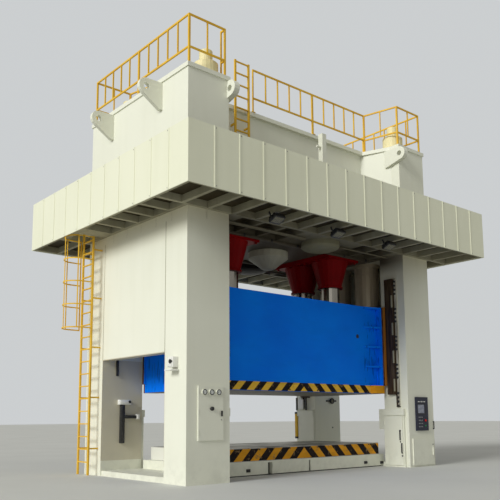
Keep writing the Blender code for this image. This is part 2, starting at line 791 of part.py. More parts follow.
def make_platform():
    """Joist frame round the crown, and the deck plate on it."""
    half = PLATFORM_BEAM_WIDTH / 2
    edge = SKIRT_THICKNESS + SEAT_GAP
    around = crown_outline(SEAT_GAP, SEAT_GAP)
    hatch = hatch_outline()
    drum_holes = [circle(place, DRUM_RADIUS + SEAT_GAP, ROUND_SIDES) for place in DRUM_PLACES]
    front, rear = SKIRT_FRONT + edge + half, SKIRT_REAR - edge - half
    outer_x = SKIRT_X - edge - half
    near = HALF_DEPTH + half
    neck = INNER_X - DIAGONAL_RUN - half
    windows = bay_windows(-outer_x, outer_x, front, -near)
    windows += bay_windows(-outer_x, outer_x, near, rear)
    windows += bay_windows(-neck, neck, -near, -MIDDLE_Y - half)
    windows += bay_windows(-neck, neck, MIDDLE_Y + half, near)
    windows += bay_windows(-outer_x, -HALF_WIDTH - half, -near, near, along_y=True)
    windows += bay_windows(HALF_WIDTH + half, outer_x, -near, near, along_y=True)
    windows = [window for window in windows
               if all(is_clear(window, hole) for hole in (hatch, *drum_holes))]
    keep(prism("platform_frame", platform_outline(edge), PLATFORM_BEAM_BOTTOM, BEAM_TOP,
               holes=[around, hatch, *drum_holes, *windows]), GIRDER_GREY)
    keep(prism("platform_deck", platform_outline(edge), BEAM_TOP + SEAT_GAP, DECK_TOP,
               holes=[around, hatch, *drum_holes]), GIRDER_GREY)


def skirt_outline(length):
    """Plan of one skirt wall along X: sheet panels with a proud strip at each seam."""
    seams = spaced(-length / 2, length / 2, SKIRT_PANEL_WIDTH)[1:-1]
    half = SKIRT_STRIP_WIDTH / 2
    points = [(length / 2, SKIRT_THICKNESS), (-length / 2, SKIRT_THICKNESS), (-length / 2, 0)]
    for seam in seams:
        points += [(seam - half, 0), (seam - half, -SKIRT_STRIP_PROUD),
                   (seam + half, -SKIRT_STRIP_PROUD), (seam + half, 0)]
    points.append((length / 2, 0))
    return points


def make_skirts():
    """Four panelled walls round the platform."""
    walls = (
        ("skirt_front", 2 * SKIRT_X, (0, SKIRT_FRONT), 0),
        ("skirt_rear", 2 * SKIRT_X, (0, SKIRT_REAR), math.pi),
    )
    side_length = SKIRT_REAR - SKIRT_FRONT - 2 * (SKIRT_THICKNESS + SEAT_GAP)
    middle_y = (SKIRT_FRONT + SKIRT_REAR) / 2
    walls += (
        ("skirt_left", side_length, (-SKIRT_X, middle_y), -math.pi / 2),
        ("skirt_right", side_length, (SKIRT_X, middle_y), math.pi / 2),
    )
    for name, length, place, turn in walls:
        wall = prism(name, skirt_outline(length), SKIRT_BOTTOM, SKIRT_TOP)
        wall.location.x, wall.location.y = place
        wall.rotation_euler.z = turn
        keep(wall, CREAM)


def fence_cells(path, extra_posts=()):
    """Stations along a fence and the kind of each cell between them."""
    lengths = path_lengths(path)
    posts = sorted([*lengths, *extra_posts])
    stations, kinds = [0.0], []

    def step_to(distance, kind):
        stations.append(distance)
        kinds.append(kind)

    for here, there in zip(posts, posts[1:]):
        step_to(here + RAIL_POST / 2, "post")
        start, end = here + RAIL_POST / 2, there - RAIL_POST / 2
        centres = spaced(start, end, RAIL_PITCH)[1:-1]
        for centre in centres:
            step_to(centre - RAIL_BALUSTER / 2, "gap")
            step_to(centre + RAIL_BALUSTER / 2, "baluster")
        step_to(end, "gap")
        step_to(there, "post")
    return stations, kinds


def make_guard_rail(name, path, extra_posts=()):
    """One run of guard rail: posts, two rails and the balusters between them."""
    stations, kinds = fence_cells(path, extra_posts)
    base = CROWN_TOP + SEAT_GAP
    levels = [base, base + RAIL_LOWER_HEIGHT - RAIL_BAR, base + RAIL_LOWER_HEIGHT,
              base + RAIL_HEIGHT - RAIL_BAR, base + RAIL_HEIGHT]

    def is_solid(column, row):
        if kinds[column] == "post" or row in (1, 3):
            return True
        return kinds[column] == "baluster" and row == 2

    keep(lattice(name, path, stations, levels, is_solid, RAIL_THICKNESS), SAFETY_YELLOW)


def make_guard_rails():
    """Two runs that follow the crown's edge and leave a gap for its ladder."""
    outer_x = HALF_WIDTH - RAIL_INSET
    outer_y = HALF_DEPTH - RAIL_INSET
    block_x = INNER_X + RAIL_INSET
    middle = (block_x - DIAGONAL_RUN + RAIL_INSET, MIDDLE_Y + RAIL_INSET)
    left = [(-block_x, -outer_y + RAIL_RETURN), (-block_x, -outer_y), (-outer_x, -outer_y),
            (-outer_x, outer_y), (-block_x, outer_y), (-middle[0], middle[1])]
    right = [(-middle[0] + RAIL_POST, middle[1]), middle, (block_x, outer_y),
             (outer_x, outer_y), (outer_x, -outer_y), (block_x, -outer_y),
             (middle[0], -middle[1]), (RAIL_GATE_X, -middle[1])]
    left_lengths = path_lengths(left)
    right_lengths = path_lengths(right)
    make_guard_rail("guard_rail_left", left, [(left_lengths[2] + left_lengths[3]) / 2])
    make_guard_rail("guard_rail_right", right, [
        (right_lengths[0] + right_lengths[1]) / 2,
        (right_lengths[3] + right_lengths[4]) / 2,
        (right_lengths[6] + right_lengths[7]) / 2,
    ])


def ladder(name, path, bottom, top):
    """A flat ladder: two stiles and evenly spaced rungs."""
    width = path_lengths(path)[-1]
    stations = [0.0, LADDER_STILE, width - LADDER_STILE, width]
    levels = [bottom]
    for rung in range(1, int((top - bottom) / LADDER_RUNG_PITCH) + 1):
        centre = bottom + rung * LADDER_RUNG_PITCH
        if centre + LADDER_RUNG < top:
            levels += [centre - LADDER_RUNG / 2, centre + LADDER_RUNG / 2]
    levels.append(top)
    return lattice(name, path, stations, levels,
                   lambda column, row: column != 1 or row % 2 == 1, LADDER_THICKNESS)


def make_ladders():
    """Ladder up the crown's front, and the wall ladder with its safety cage."""
    half = CROWN_LADDER_WIDTH / 2
    y = -MIDDLE_Y - CROWN_LADDER_STAND_OFF
    keep(ladder("crown_ladder", [(CROWN_LADDER_X - half, y), (CROWN_LADDER_X + half, y)],
                DECK_TOP + SEAT_GAP, CROWN_TOP + RAIL_HEIGHT), SAFETY_YELLOW)

    half = CAT_LADDER_WIDTH / 2
    stiles = (CAT_LADDER_Y - half, CAT_LADDER_Y + half)
    wall_ladder = ladder("cat_ladder", [(CAT_LADDER_X, stiles[0]), (CAT_LADDER_X, stiles[1])],
                         CAT_LADDER_LOW, SKIRT_TOP)
    for level in CAT_BRACKET_LEVELS:
        for stile in (stiles[0], stiles[1] - LADDER_STILE):
            join(wall_ladder, box("bracket", (CAT_LADDER_X, stile + LADDER_STILE / 4, level),
                                  (-HALF_WIDTH - SEAT_GAP, stile + LADDER_STILE * 3 / 4,
                                   level + CAT_BRACKET)))
    keep(wall_ladder, SAFETY_YELLOW)

    start_x = CAT_LADDER_X - LADDER_THICKNESS / 2 - SEAT_GAP
    bend_x = start_x - CAGE_STRAIGHT
    path = [(start_x, CAT_LADDER_Y - CAGE_RADIUS)]
    path += [(bend_x - CAGE_RADIUS * math.cos(angle), CAT_LADDER_Y + CAGE_RADIUS * math.sin(angle))
             for angle in spaced(-math.pi / 2, math.pi / 2, math.pi / 10)]
    path.append((start_x, CAT_LADDER_Y + CAGE_RADIUS))
    lengths = path_lengths(path)
    half_bar = CAGE_BAR / 2
    stations, solid = [0.0], []
    strap_lengths = spaced(half_bar, lengths[-1] - half_bar, lengths[-1] / (CAGE_STRAPS - 1))
    marks = sorted([(length, "corner") for length in lengths[1:-1]]
                   + [(centre + way * half_bar, "edge") for centre in strap_lengths
                      for way in (-1, 1) if 0 < centre + way * half_bar < lengths[-1]]
                   + [(lengths[-1], "edge")])
    for mark, _ in marks:
        if mark - stations[-1] > SEAT_GAP:
            middle = (mark + stations[-1]) / 2
            solid.append(any(abs(middle - centre) < half_bar for centre in strap_lengths))
            stations.append(mark)
    top = PLATFORM_BEAM_BOTTOM - SEAT_GAP
    hoops = spaced(CAGE_BOTTOM, top - CAGE_BAR, (top - CAGE_BOTTOM) / (CAGE_HOOPS - 1))
    levels = [level for hoop in hoops for level in (hoop, hoop + CAGE_BAR)]
    keep(lattice("ladder_cage", path, stations, levels,
                 lambda column, row: solid[column] or row % 2 == 0, CAGE_THICKNESS), SAFETY_YELLOW)


def make_drums():
    """Two oil drums that hang in the platform by their collars, and a standpipe."""
    collar = DRUM_RADIUS + DRUM_COLLAR
    collar_low = DECK_TOP + SEAT_GAP
    profile = [
        (0, DRUM_TOP),
        (DRUM_RADIUS, DRUM_TOP),
        (DRUM_RADIUS, collar_low + DRUM_COLLAR_HEIGHT),
        (collar, collar_low + DRUM_COLLAR_HEIGHT),
        (collar, collar_low),
        (DRUM_RADIUS - SEAT_GAP, collar_low),
        (DRUM_RADIUS - SEAT_GAP, DRUM_BOTTOM + DRUM_DISH),
    ]
    for step in range(1, 5):
        angle = step * math.pi / 8
        profile.append((DRUM_RADIUS * math.cos(angle),
                        DRUM_BOTTOM + DRUM_DISH * (1 - math.sin(angle))))
    profile[-1] = (0, DRUM_BOTTOM)
    for name, place in zip(("oil_drum", "rear_drum"), DRUM_PLACES):
        keep(turned(name, profile, (*place, 0)), GIRDER_GREY)

    x = DRUM_X + STANDPIPE_OFFSET
    half = STANDPIPE_WIDTH / 2
    pipe = box("standpipe", (x - half, DRUM_Y - half, DRUM_TOP + SEAT_GAP),
               (x + half, DRUM_Y + half, STANDPIPE_TOP))
    level = STANDPIPE_TOP - STANDPIPE_STUB_DROP
    join(pipe, cylinder("stub", STANDPIPE_STUB_RADIUS, (x - half - STANDPIPE_STUB, DRUM_Y, level),
                        (x, DRUM_Y, level), SMALL_SIDES))
    keep(pipe, CREAM)


def make_main_cylinders():
    """Tapered main cylinders under the crown, their barrels inside it, and their rams."""
    flange_top = CROWN_BOTTOM - SEAT_GAP
    flange_bottom = flange_top - CYLINDER_FLANGE_HEIGHT
    lip_top = CYLINDER_BOTTOM + CYLINDER_LIP_HEIGHT
    profile = [
        (0, CYLINDER_BARREL_TOP),
        (CYLINDER_BARREL_RADIUS, CYLINDER_BARREL_TOP),
        (CYLINDER_BARREL_RADIUS, flange_top - SEAT_GAP),
        (CYLINDER_TOP_RADIUS, flange_top - SEAT_GAP),
        (CYLINDER_TOP_RADIUS, flange_bottom),
        (CYLINDER_BOTTOM_RADIUS, lip_top),
        (CYLINDER_BOTTOM_RADIUS + CYLINDER_LIP, lip_top),
        (CYLINDER_BOTTOM_RADIUS + CYLINDER_LIP, CYLINDER_BOTTOM),
        (0, CYLINDER_BOTTOM),
    ]
    half = CYLINDER_FLANGE_WIDTH / 2
    ram_base = SLIDE_TOP + SEAT_GAP
    ram_profile = [
        (0, RAM_TOP),
        (RAM_RADIUS - TIE_ROD_CHAMFER, RAM_TOP),
        (RAM_RADIUS, RAM_TOP - TIE_ROD_CHAMFER),
        (RAM_RADIUS, ram_base + RAM_FOOT_HEIGHT),
        (RAM_FOOT_RADIUS, ram_base + RAM_FOOT_HEIGHT),
        (RAM_FOOT_RADIUS, ram_base),
        (0, ram_base),
    ]
    for corner, (side_x, side_y) in CORNERS.items():
        place = (side_x * CYLINDER_X, side_y * CYLINDER_Y)
        body = turned("main_cylinder_" + corner, profile, (*place, 0))
        join(body, corner_box("flange", (CYLINDER_X - half, CYLINDER_X + half),
                              (SEAT_GAP / 2, 2 * CYLINDER_Y), (flange_bottom, flange_top),
                              side_x, side_y))
        cut(body, cylinder("ram_bore", RAM_RADIUS + RAM_GAP,
                           (*place, CYLINDER_BOTTOM - OVERRUN),
                           (*place, CYLINDER_BARREL_TOP - CYLINDER_END_WALL)))
        keep(body, CYLINDER_RED)
        keep(turned("main_ram_" + corner, ram_profile, (*place, 0)), CHROME, SLIDE_AXIS)


def make_centre_housing():
    """Pale tapered housing in the middle of the crown's underside."""
    top = CROWN_BOTTOM - SEAT_GAP
    profile = [
        (0, top),
        (CENTRE_TOP_RADIUS, top),
        (CENTRE_TOP_RADIUS, CENTRE_SHOULDER),
        (CENTRE_BOTTOM_RADIUS, CENTRE_BOTTOM),
        (CENTRE_BOTTOM_RADIUS * math.cos(math.pi / 4), CENTRE_BOTTOM - CENTRE_DISH * 2 / 3),
        (0, CENTRE_BOTTOM - CENTRE_DISH),
    ]
    keep(turned("centre_housing", profile, (0, 0, 0)), CREAM)


def make_return_cylinders():
    """Return cylinders hung from the crown's end blocks, and the rods that lift the slide."""
    top = CROWN_BOTTOM - SEAT_GAP
    gland = RETURN_ROD_RADIUS + RAM_GAP
    chamber_low = RETURN_BOTTOM + RETURN_GLAND_HEIGHT
    chamber_high = top - RETURN_END_WALL
    profile = [
        (0, top),
        (RETURN_FLANGE_RADIUS, top),
        (RETURN_FLANGE_RADIUS, top - RETURN_FLANGE_HEIGHT),
        (RETURN_RADIUS, top - RETURN_FLANGE_HEIGHT),
        (RETURN_RADIUS, RETURN_BOTTOM),
        (0, RETURN_BOTTOM),
    ]
    piston = RETURN_BORE_RADIUS - RAM_GAP
    base = SLIDE_BRACKET_TOP + SEAT_GAP
    rod_profile = [
        (0, RETURN_ROD_TOP),
        (piston, RETURN_ROD_TOP),
        (piston, RETURN_ROD_TOP - RETURN_PISTON_HEIGHT),
        (RETURN_ROD_RADIUS, RETURN_ROD_TOP - RETURN_PISTON_HEIGHT),
        (RETURN_ROD_RADIUS, base),
        (0, base),
    ]
    for corner, (side_x, side_y) in CORNERS.items():
        place = (side_x * RETURN_X, side_y * RETURN_Y)
        body = turned("return_cylinder_" + corner, profile, (*place, 0))
        cut(body, cylinder("chamber", RETURN_BORE_RADIUS, (*place, chamber_low),
                           (*place, chamber_high)))
        cut(body, cylinder("gland", gland, (*place, RETURN_BOTTOM - OVERRUN),
                           (*place, chamber_low + OVERRUN)))
        keep(body, BARE_STEEL)
        keep(turned("return_rod_" + corner, rod_profile, (*place, 0)), CHROME, SLIDE_AXIS)


def make_guide_rails():
    """Bolted guide rails on the columns' inner faces, which the slide's shoes run along."""
    working_x = EAR_OUTER_X + GUIDE_GAP
    working_y = SHOE_Y + GUIDE_GAP
    front = working_y + GUIDE_DEPTH
    flange_y = front + GUIDE_FLANGE_REACH
    back = INNER_X - SEAT_GAP
    flange_x = back - GUIDE_FLANGE_THICKNESS
    outline = [(working_x, working_y), (back, working_y), (back, flange_y),
               (flange_x, flange_y), (flange_x, front), (working_x, front)]
    for corner, (side_x, side_y) in CORNERS.items():
        rail = prism("guide_rail_" + corner, mirrored(outline, side_x, side_y),
                     GUIDE_BOTTOM, GUIDE_TOP)
        join(rail, corner_box("tail", (flange_x, back),
                              (front - GUIDE_FLANGE_THICKNESS, flange_y),
                              (GUIDE_TAIL_BOTTOM, GUIDE_BOTTOM + OVERRUN), side_x, side_y))
        keep(rail, GUIDE_BRONZE)


def make_slide():
    """Slide with ribbed ears, guide shoes, T slots below and the return rods' brackets."""
    slide = box("slide", (-SLIDE_HALF_WIDTH, -SLIDE_HALF_DEPTH, SLIDE_BOTTOM),
                (SLIDE_HALF_WIDTH, SLIDE_HALF_DEPTH, SLIDE_TOP))
    foot_top = SLIDE_BOTTOM + SLIDE_BAND_HEIGHT
    root_y = SLIDE_HALF_DEPTH - OVERRUN
    rib_end = (EAR_PLATE_X + EAR_OUTER_X) / 2
    rib = [(EAR_ROOT_X, root_y), (rib_end, root_y), (rib_end, EAR_Y - EAR_RIB_SET),
           (EAR_ROOT_X, SLIDE_HALF_DEPTH + EAR_RIB_ROOT)]
    for side_x, side_y in CORNERS.values():
        for name, inner, outer, front, low in (
                ("ear", EAR_PLATE_X, EAR_OUTER_X, EAR_Y, SLIDE_BOTTOM),
                ("shoe", EAR_OUTER_X - SHOE_LIP, INNER_X - GUIDE_GAP, SHOE_Y, foot_top)):
            join(slide, corner_box(name, (inner, outer), (root_y, front), (low, SLIDE_TOP),
                                   side_x, side_y))
        join(slide, corner_box("foot", (EAR_FOOT_X, rib_end), (root_y, EAR_Y),
                               (SLIDE_BOTTOM, foot_top), side_x, side_y))
        for top in spaced(foot_top, SLIDE_TOP, (SLIDE_TOP - foot_top) / EAR_BAYS)[1:]:
            join(slide, prism("rib", mirrored(rib, side_x, side_y), top - EAR_RIB, top))
    for side in (-1, 1):
        join(slide, corner_box("rod_bracket", (SLIDE_HALF_WIDTH - OVERRUN, SLIDE_BRACKET_END),
                               (-SLIDE_BRACKET_HALF_DEPTH, SLIDE_BRACKET_HALF_DEPTH),
                               (SLIDE_BRACKET_TOP - SLIDE_BRACKET_HEIGHT, SLIDE_BRACKET_TOP),
                               side, 1))
    cut_slots(slide, SLIDE_BOTTOM, 1, SLIDE_HALF_DEPTH)
    keep(slide, SLIDE_BLUE, SLIDE_AXIS)

    face = -SLIDE_HALF_DEPTH - SEAT_GAP
    reach = EAR_FOOT_X - SEAT_GAP
    plate = box("slide_hazard_plate", (-reach, face - HAZARD_PLATE, SLIDE_BOTTOM + HAZARD_MARGIN),
                (reach, face, SLIDE_BOTTOM + SLIDE_BAND_HEIGHT))
    bevel_edges(plate, HAZARD_PLATE / 4)
    keep(plate, HAZARD_ORANGE, SLIDE_AXIS)


def front_disc(name, profile, x, level, face, sides=SMALL_SIDES):
    """A turned piece on a vertical front face, its profile measured out from the face."""
    return turned(name, profile, (x, face, level), sides, (math.pi / 2, 0, 0))


def make_gauge_door():
    """Hinged door of the gauge cabinet with its gauges, valve knob and latch."""
    back = -HALF_DEPTH - SEAT_GAP
    face = back - DOOR_THICKNESS
    door = box("gauge_door", (GAUGE_DOOR_LEFT, face, GAUGE_DOOR_BOTTOM),
               (GAUGE_DOOR_RIGHT, back, GAUGE_DOOR_TOP))
    set_pivot(door, (GAUGE_DOOR_LEFT, face, GAUGE_DOOR_BOTTOM))
    middle = (GAUGE_DOOR_LEFT + GAUGE_DOOR_RIGHT) / 2
    profile = [(0, GAUGE_DEPTH - GAUGE_FACE_SET), (GAUGE_RADIUS - GAUGE_RIM,
                                                   GAUGE_DEPTH - GAUGE_FACE_SET),
               (GAUGE_RADIUS - GAUGE_RIM, GAUGE_DEPTH), (GAUGE_RADIUS, GAUGE_DEPTH),
               (GAUGE_RADIUS, -DOOR_THICKNESS / 2), (0, -DOOR_THICKNESS / 2)]
    for step in (-1, 0, 1):
        join(door, front_disc("gauge", profile, middle + step * GAUGE_PITCH, GAUGE_LEVEL, face))
    keep(door, CREAM)

    seat = face - SEAT_GAP
    knob_profile = [(0, KNOB_SHANK + KNOB_DEPTH), (KNOB_RADIUS * 3 / 4, KNOB_SHANK + KNOB_DEPTH),
                    (KNOB_RADIUS, KNOB_SHANK + KNOB_DEPTH * 3 / 4), (KNOB_RADIUS, KNOB_SHANK),
                    (KNOB_SHANK_RADIUS, KNOB_SHANK), (KNOB_SHANK_RADIUS, 0), (0, 0)]
    keep(front_disc("valve_knob", knob_profile, KNOB_X, KNOB_LEVEL, seat), BLACK)

    latch = box("door_latch", (LATCH_X - LATCH_WIDTH / 2, seat - LATCH_STEM - LATCH_DEPTH,
                               LATCH_LEVEL - LATCH_LENGTH / 2),
                (LATCH_X + LATCH_WIDTH / 2, seat - LATCH_STEM, LATCH_LEVEL + LATCH_LENGTH / 2))
    set_pivot(latch, (LATCH_X, seat, LATCH_LEVEL))
    join(latch, cylinder("latch_stem", LATCH_STEM_RADIUS, (LATCH_X, seat, LATCH_LEVEL),
                         (LATCH_X, seat - LATCH_STEM - LATCH_DEPTH / 2, LATCH_LEVEL), SMALL_SIDES))
    keep(latch, BLACK)


def button(name, radius, height, travel, level, material):
    """A push button whose shank slides in the control panel."""
    front = -HALF_DEPTH - SEAT_GAP - PANEL_DEPTH
    lift = travel + BUTTON_REST_GAP
    profile = [(0, lift + height), (radius * 3 / 4, lift + height), (radius, lift + height / 2),
               (radius, lift), (BUTTON_SHANK_RADIUS, lift), (BUTTON_SHANK_RADIUS, -BUTTON_SHANK),
               (0, -BUTTON_SHANK)]
    keep(front_disc(name, profile, BUTTON_X, level, front), material)


def make_control_panel():
    """Dark control panel with a sunk screen and two push buttons."""
    back = -HALF_DEPTH - SEAT_GAP
    front = back - PANEL_DEPTH
    panel = box("control_panel", (PANEL_LEFT, front, PANEL_BOTTOM), (PANEL_RIGHT, back, PANEL_TOP))
    cut(panel, box("screen", (SCREEN_LEFT, front - OVERRUN, SCREEN_BOTTOM),
                   (SCREEN_RIGHT, front + SCREEN_SET, SCREEN_TOP)))
    for level in (STOP_LEVEL, START_LEVEL):
        cut(panel, cylinder("button_hole", BUTTON_SHANK_RADIUS + BUTTON_HOLE_CLEARANCE,
                            (BUTTON_X, front - OVERRUN, level),
                            (BUTTON_X, back - SCREEN_SET, level), SMALL_SIDES))
    keep(panel, BLACK)
    button("emergency_stop", STOP_RADIUS, STOP_HEIGHT, STOP_TRAVEL, STOP_LEVEL, STOP_RED)
    button("start_button", START_RADIUS, START_HEIGHT, START_TRAVEL, START_LEVEL, START_GREEN)


def make_column_door():
    """Lower door on the front right column, hinged on its left edge."""
    back = -HALF_DEPTH - SEAT_GAP
    face = back - DOOR_THICKNESS
    door = box("column_door", (COLUMN_DOOR_LEFT, face, COLUMN_DOOR_BOTTOM),
               (COLUMN_DOOR_RIGHT, back, COLUMN_DOOR_TOP))
    set_pivot(door, (COLUMN_DOOR_LEFT, face, COLUMN_DOOR_BOTTOM))
    right = COLUMN_DOOR_RIGHT - HANDLE_WIDTH
    middle = (COLUMN_DOOR_BOTTOM + COLUMN_DOOR_TOP) / 2
    join(door, box("handle", (right - HANDLE_WIDTH, face - HANDLE_DEPTH, middle - HANDLE_LENGTH / 2),
                   (right, face + DOOR_THICKNESS / 2, middle + HANDLE_LENGTH / 2)))
    keep(door, CREAM)


def make_low_doors():
    """Doors of the two front cabinets, hinged on their rear edges."""
    rear = INNER_Y + CABINET_REAR_MARGIN + LOW_DOOR_EDGE
    front = CABINET_FRONT_Y - LOW_DOOR_EDGE
    back_x = INNER_X - CABINET_PROUD - SEAT_GAP
    face_x = back_x - DOOR_THICKNESS
    top = CABINET_HEIGHT - CABINET_WALL
    middle = (LOW_DOOR_BOTTOM + top) / 2
    for name, side in (("low_door_left", -1), ("low_door_right", 1)):
        door = corner_box(name, (face_x, back_x), (rear, front), (LOW_DOOR_BOTTOM, top), side, -1)
        set_pivot(door, (side * face_x, -rear, LOW_DOOR_BOTTOM))
        join(door, corner_box("handle", (face_x - HANDLE_DEPTH / 2, back_x - DOOR_THICKNESS / 2),
                              (front - 2 * HANDLE_WIDTH, front - HANDLE_WIDTH),
                              (middle - HANDLE_LENGTH / 2, middle + HANDLE_LENGTH / 2), side, -1))
        keep(door, CREAM)


make_bed()
make_bolster()
make_columns()
make_side_panels()
make_crown()
make_tie_rods()
make_platform()
make_skirts()
make_guard_rails()
make_ladders()
make_drums()
make_main_cylinders()
make_centre_housing()
make_return_cylinders()
make_guide_rails()
make_slide()
make_gauge_door()
make_control_panel()
make_column_door()
make_low_doors()
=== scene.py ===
# %% [markdown]
# # Dressing a large column frame press
#
# The solids of the press come from the CAD model. This lesson gives them paint, steel,
# warning stripes and grease, and adds the small pieces that a machine of this size
# carries: bolts, lamps, gauges, handles and pipes.
#
# The CAD model is loaded first, because every later place is read from its nodes.

# %% Load the press
import math

import bpy
from mathutils import Matrix, Vector


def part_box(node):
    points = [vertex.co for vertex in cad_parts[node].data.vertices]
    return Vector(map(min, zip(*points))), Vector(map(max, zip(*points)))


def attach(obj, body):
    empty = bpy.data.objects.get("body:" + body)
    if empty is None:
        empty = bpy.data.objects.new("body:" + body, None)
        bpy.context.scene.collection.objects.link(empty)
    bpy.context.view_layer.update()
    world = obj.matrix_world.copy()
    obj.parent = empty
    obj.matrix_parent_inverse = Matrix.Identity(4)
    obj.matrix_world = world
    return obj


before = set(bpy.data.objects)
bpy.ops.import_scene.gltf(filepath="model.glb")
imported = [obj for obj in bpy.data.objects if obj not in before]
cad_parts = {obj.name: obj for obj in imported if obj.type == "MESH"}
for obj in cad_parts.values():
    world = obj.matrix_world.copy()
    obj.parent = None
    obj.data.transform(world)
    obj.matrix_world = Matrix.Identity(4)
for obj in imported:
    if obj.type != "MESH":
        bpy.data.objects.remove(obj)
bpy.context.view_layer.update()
for leftover in ("Cube", "Light", "Camera"):
    if leftover in bpy.data.objects:
        bpy.data.objects.remove(bpy.data.objects[leftover])
FRAME_Y = -0.13  # the middle of the frame's depth
HALF_X, HALF_Y = 4.20, 2.15  # the frame from its middle
SIDES = (-1, 1)
CORNERS = [(side_x, side_y) for side_x in SIDES for side_y in SIDES]
LEFT, RIGHT, FRONT, REAR, DOWN = (-1, 0, 0), (1, 0, 0), (0, -1, 0), (0, 1, 0), (0, 0, -1)

# %% [markdown]
# ## The camera
#
# The camera stands at the front left, at chest height, and is tilted up. Its lens and
# the small upward shift were worked out from the edges of the frame.
# A camera matrix holds the three directions right, up and back as its columns. Writing
# them from yaw, pitch and roll keeps each angle readable.

# %% Camera at the photograph's angle
YAW, PITCH, ROLL = math.radians(40.442), math.radians(8.164), math.radians(-0.40)
forward = Vector((math.sin(YAW) * math.cos(PITCH), math.cos(YAW) * math.cos(PITCH),
                  math.sin(PITCH)))
level_right = Vector((math.cos(YAW), -math.sin(YAW), 0))
level_up = level_right.cross(forward)
right = level_right * math.cos(ROLL) + level_up * math.sin(ROLL)
up = level_up * math.cos(ROLL) - level_right * math.sin(ROLL)

camera = bpy.data.objects.new("camera", bpy.data.cameras.new("camera"))
bpy.context.scene.collection.objects.link(camera)
camera.matrix_world = (Matrix.Translation((-12.369, -13.865, 1.34))
                       @ Matrix((right, up, -forward)).transposed().to_4x4())
camera.data.lens = 50.02
camera.data.sensor_width = 36
camera.data.shift_y = 0.136
camera.data.clip_end = 400
bpy.context.scene.camera = camera
print("camera looks along", tuple(round(part, 3) for part in forward))

# %% [markdown]
# ## Shader sums in Python
#
# A procedural material is a net of nodes. Wiring it line by line hides the idea, so one
# small class wraps a socket and lets Python's own operators add the Math nodes. Any
# other node comes from one method that sets its options, then its inputs.

# %% A socket that takes part in sums
class Field:
    """A value that varies over a surface."""

    def __init__(self, finish, socket):
        self.finish = finish
        self.socket = socket

    def math(self, operation, *values):
        return self.finish.node("ShaderNodeMath", {"operation": operation}, values)

    def __add__(self, other):
        return self.math("ADD", self, other)

    def __radd__(self, other):
        return self.math("ADD", other, self)

    def __sub__(self, other):
        return self.math("SUBTRACT", self, other)

    def __rsub__(self, other):
        return self.math("SUBTRACT", other, self)

    def __mul__(self, other):
        return self.math("MULTIPLY", self, other)

    def __rmul__(self, other):
        return self.math("MULTIPLY", other, self)

    def __truediv__(self, other):
        return self.math("DIVIDE", self, other)

    def __gt__(self, other):
        return self.math("GREATER_THAN", self, other)

    def __lt__(self, other):
        return self.math("LESS_THAN", self, other)

    def __or__(self, other):
        return self.math("MAXIMUM", self, other)

    def __abs__(self):
        return self.math("ABSOLUTE", self)

    def repeat(self, length):
        return self.math("FLOORED_MODULO", self, length)

    def ramp(self, low, high):
        """Zero below low, one above high, and even between them."""
        return self.finish.node("ShaderNodeMapRange", {"clamp": True},
                                [self, low, high, 0.0, 1.0])


# %% A material built from fields
class Finish:
    """A Principled material whose inputs take numbers, colours or fields."""

    def __init__(self, name, **inputs):
        self.material = bpy.data.materials.new(name)
        self.material.use_nodes = True
        self.tree = self.material.node_tree
        self.shader = self.tree.nodes["Principled BSDF"]
        self.place = self.node("ShaderNodeTexCoord", output="Object")
        self.surface(**inputs)

    def node(self, kind, settings=None, inputs=(), output=0):
        made = self.tree.nodes.new(kind)
        for key, value in (settings or {}).items():
            setattr(made, key, value)
        pairs = inputs.items() if isinstance(inputs, dict) else enumerate(inputs)
        for key, value in pairs:
            self.put(made.inputs[key], value)
        return Field(self, made.outputs[output])

    def put(self, socket, value):
        if isinstance(value, Field):
            self.tree.links.new(value.socket, socket)
        elif socket.type == "RGBA" and len(value) == 3:
            socket.default_value = (*value, 1)
        else:
            socket.default_value = value

    def surface(self, **inputs):
        for name, value in inputs.items():
            self.put(self.shader.inputs[name.replace("_", " ")], value)
        return self

    def axes(self):
        """The place on the object as three separate fields."""
        split = self.node("ShaderNodeSeparateXYZ", inputs=[self.place])
        outputs = split.socket.node.outputs
        return [Field(self, outputs[axis]) for axis in "XYZ"]

    def noise(self, scale, detail=3.0, stretch=(1, 1, 1)):
        """Cloudy noise from 0 to 1, with its scale in lumps per metre."""
        spot = self.node("ShaderNodeMapping", inputs={"Vector": self.place, "Scale": stretch})
        return self.node("ShaderNodeTexNoise", inputs={"Vector": spot, "Scale": scale,
                                                       "Detail": detail})

    def mix(self, share, first, second):
        return self.node("ShaderNodeMix", {"data_type": "RGBA"},
                         {0: share, 6: first, 7: second}, output=2)

    def bump(self, height, strength, distance):
        """Send a height to the shader's normal."""
        lift = self.node("ShaderNodeBump", inputs={"Height": height, "Strength": strength,
                                                   "Distance": distance})
        self.surface(Normal=lift)
        return self


print("field and finish are ready")

# %% [markdown]
# ## Paint on welded plate
#
# The frame is painted cream over large welded plates. Close up, such paint has three
# scales: the plate is a little wavy, the paint has a fine orange peel, and dust and
# splashes gather near the floor. Each scale is one noise, so it can be tuned alone. The
# platform's thin sheets are a yellower cream, which is painted warm light, and its joists
# an olive grey. Painted shade warms and darkens the frame under the platform, high on the
# columns' inner edges and in the left side opening, and a dark brown painted shade lies
# between the cylinders, on the crown's underside and the joists.

# %% Paint of frame, sheets, nuts, drums and joists
COLUMN_INNER, DECK_LEVEL = 3.08, 5.95


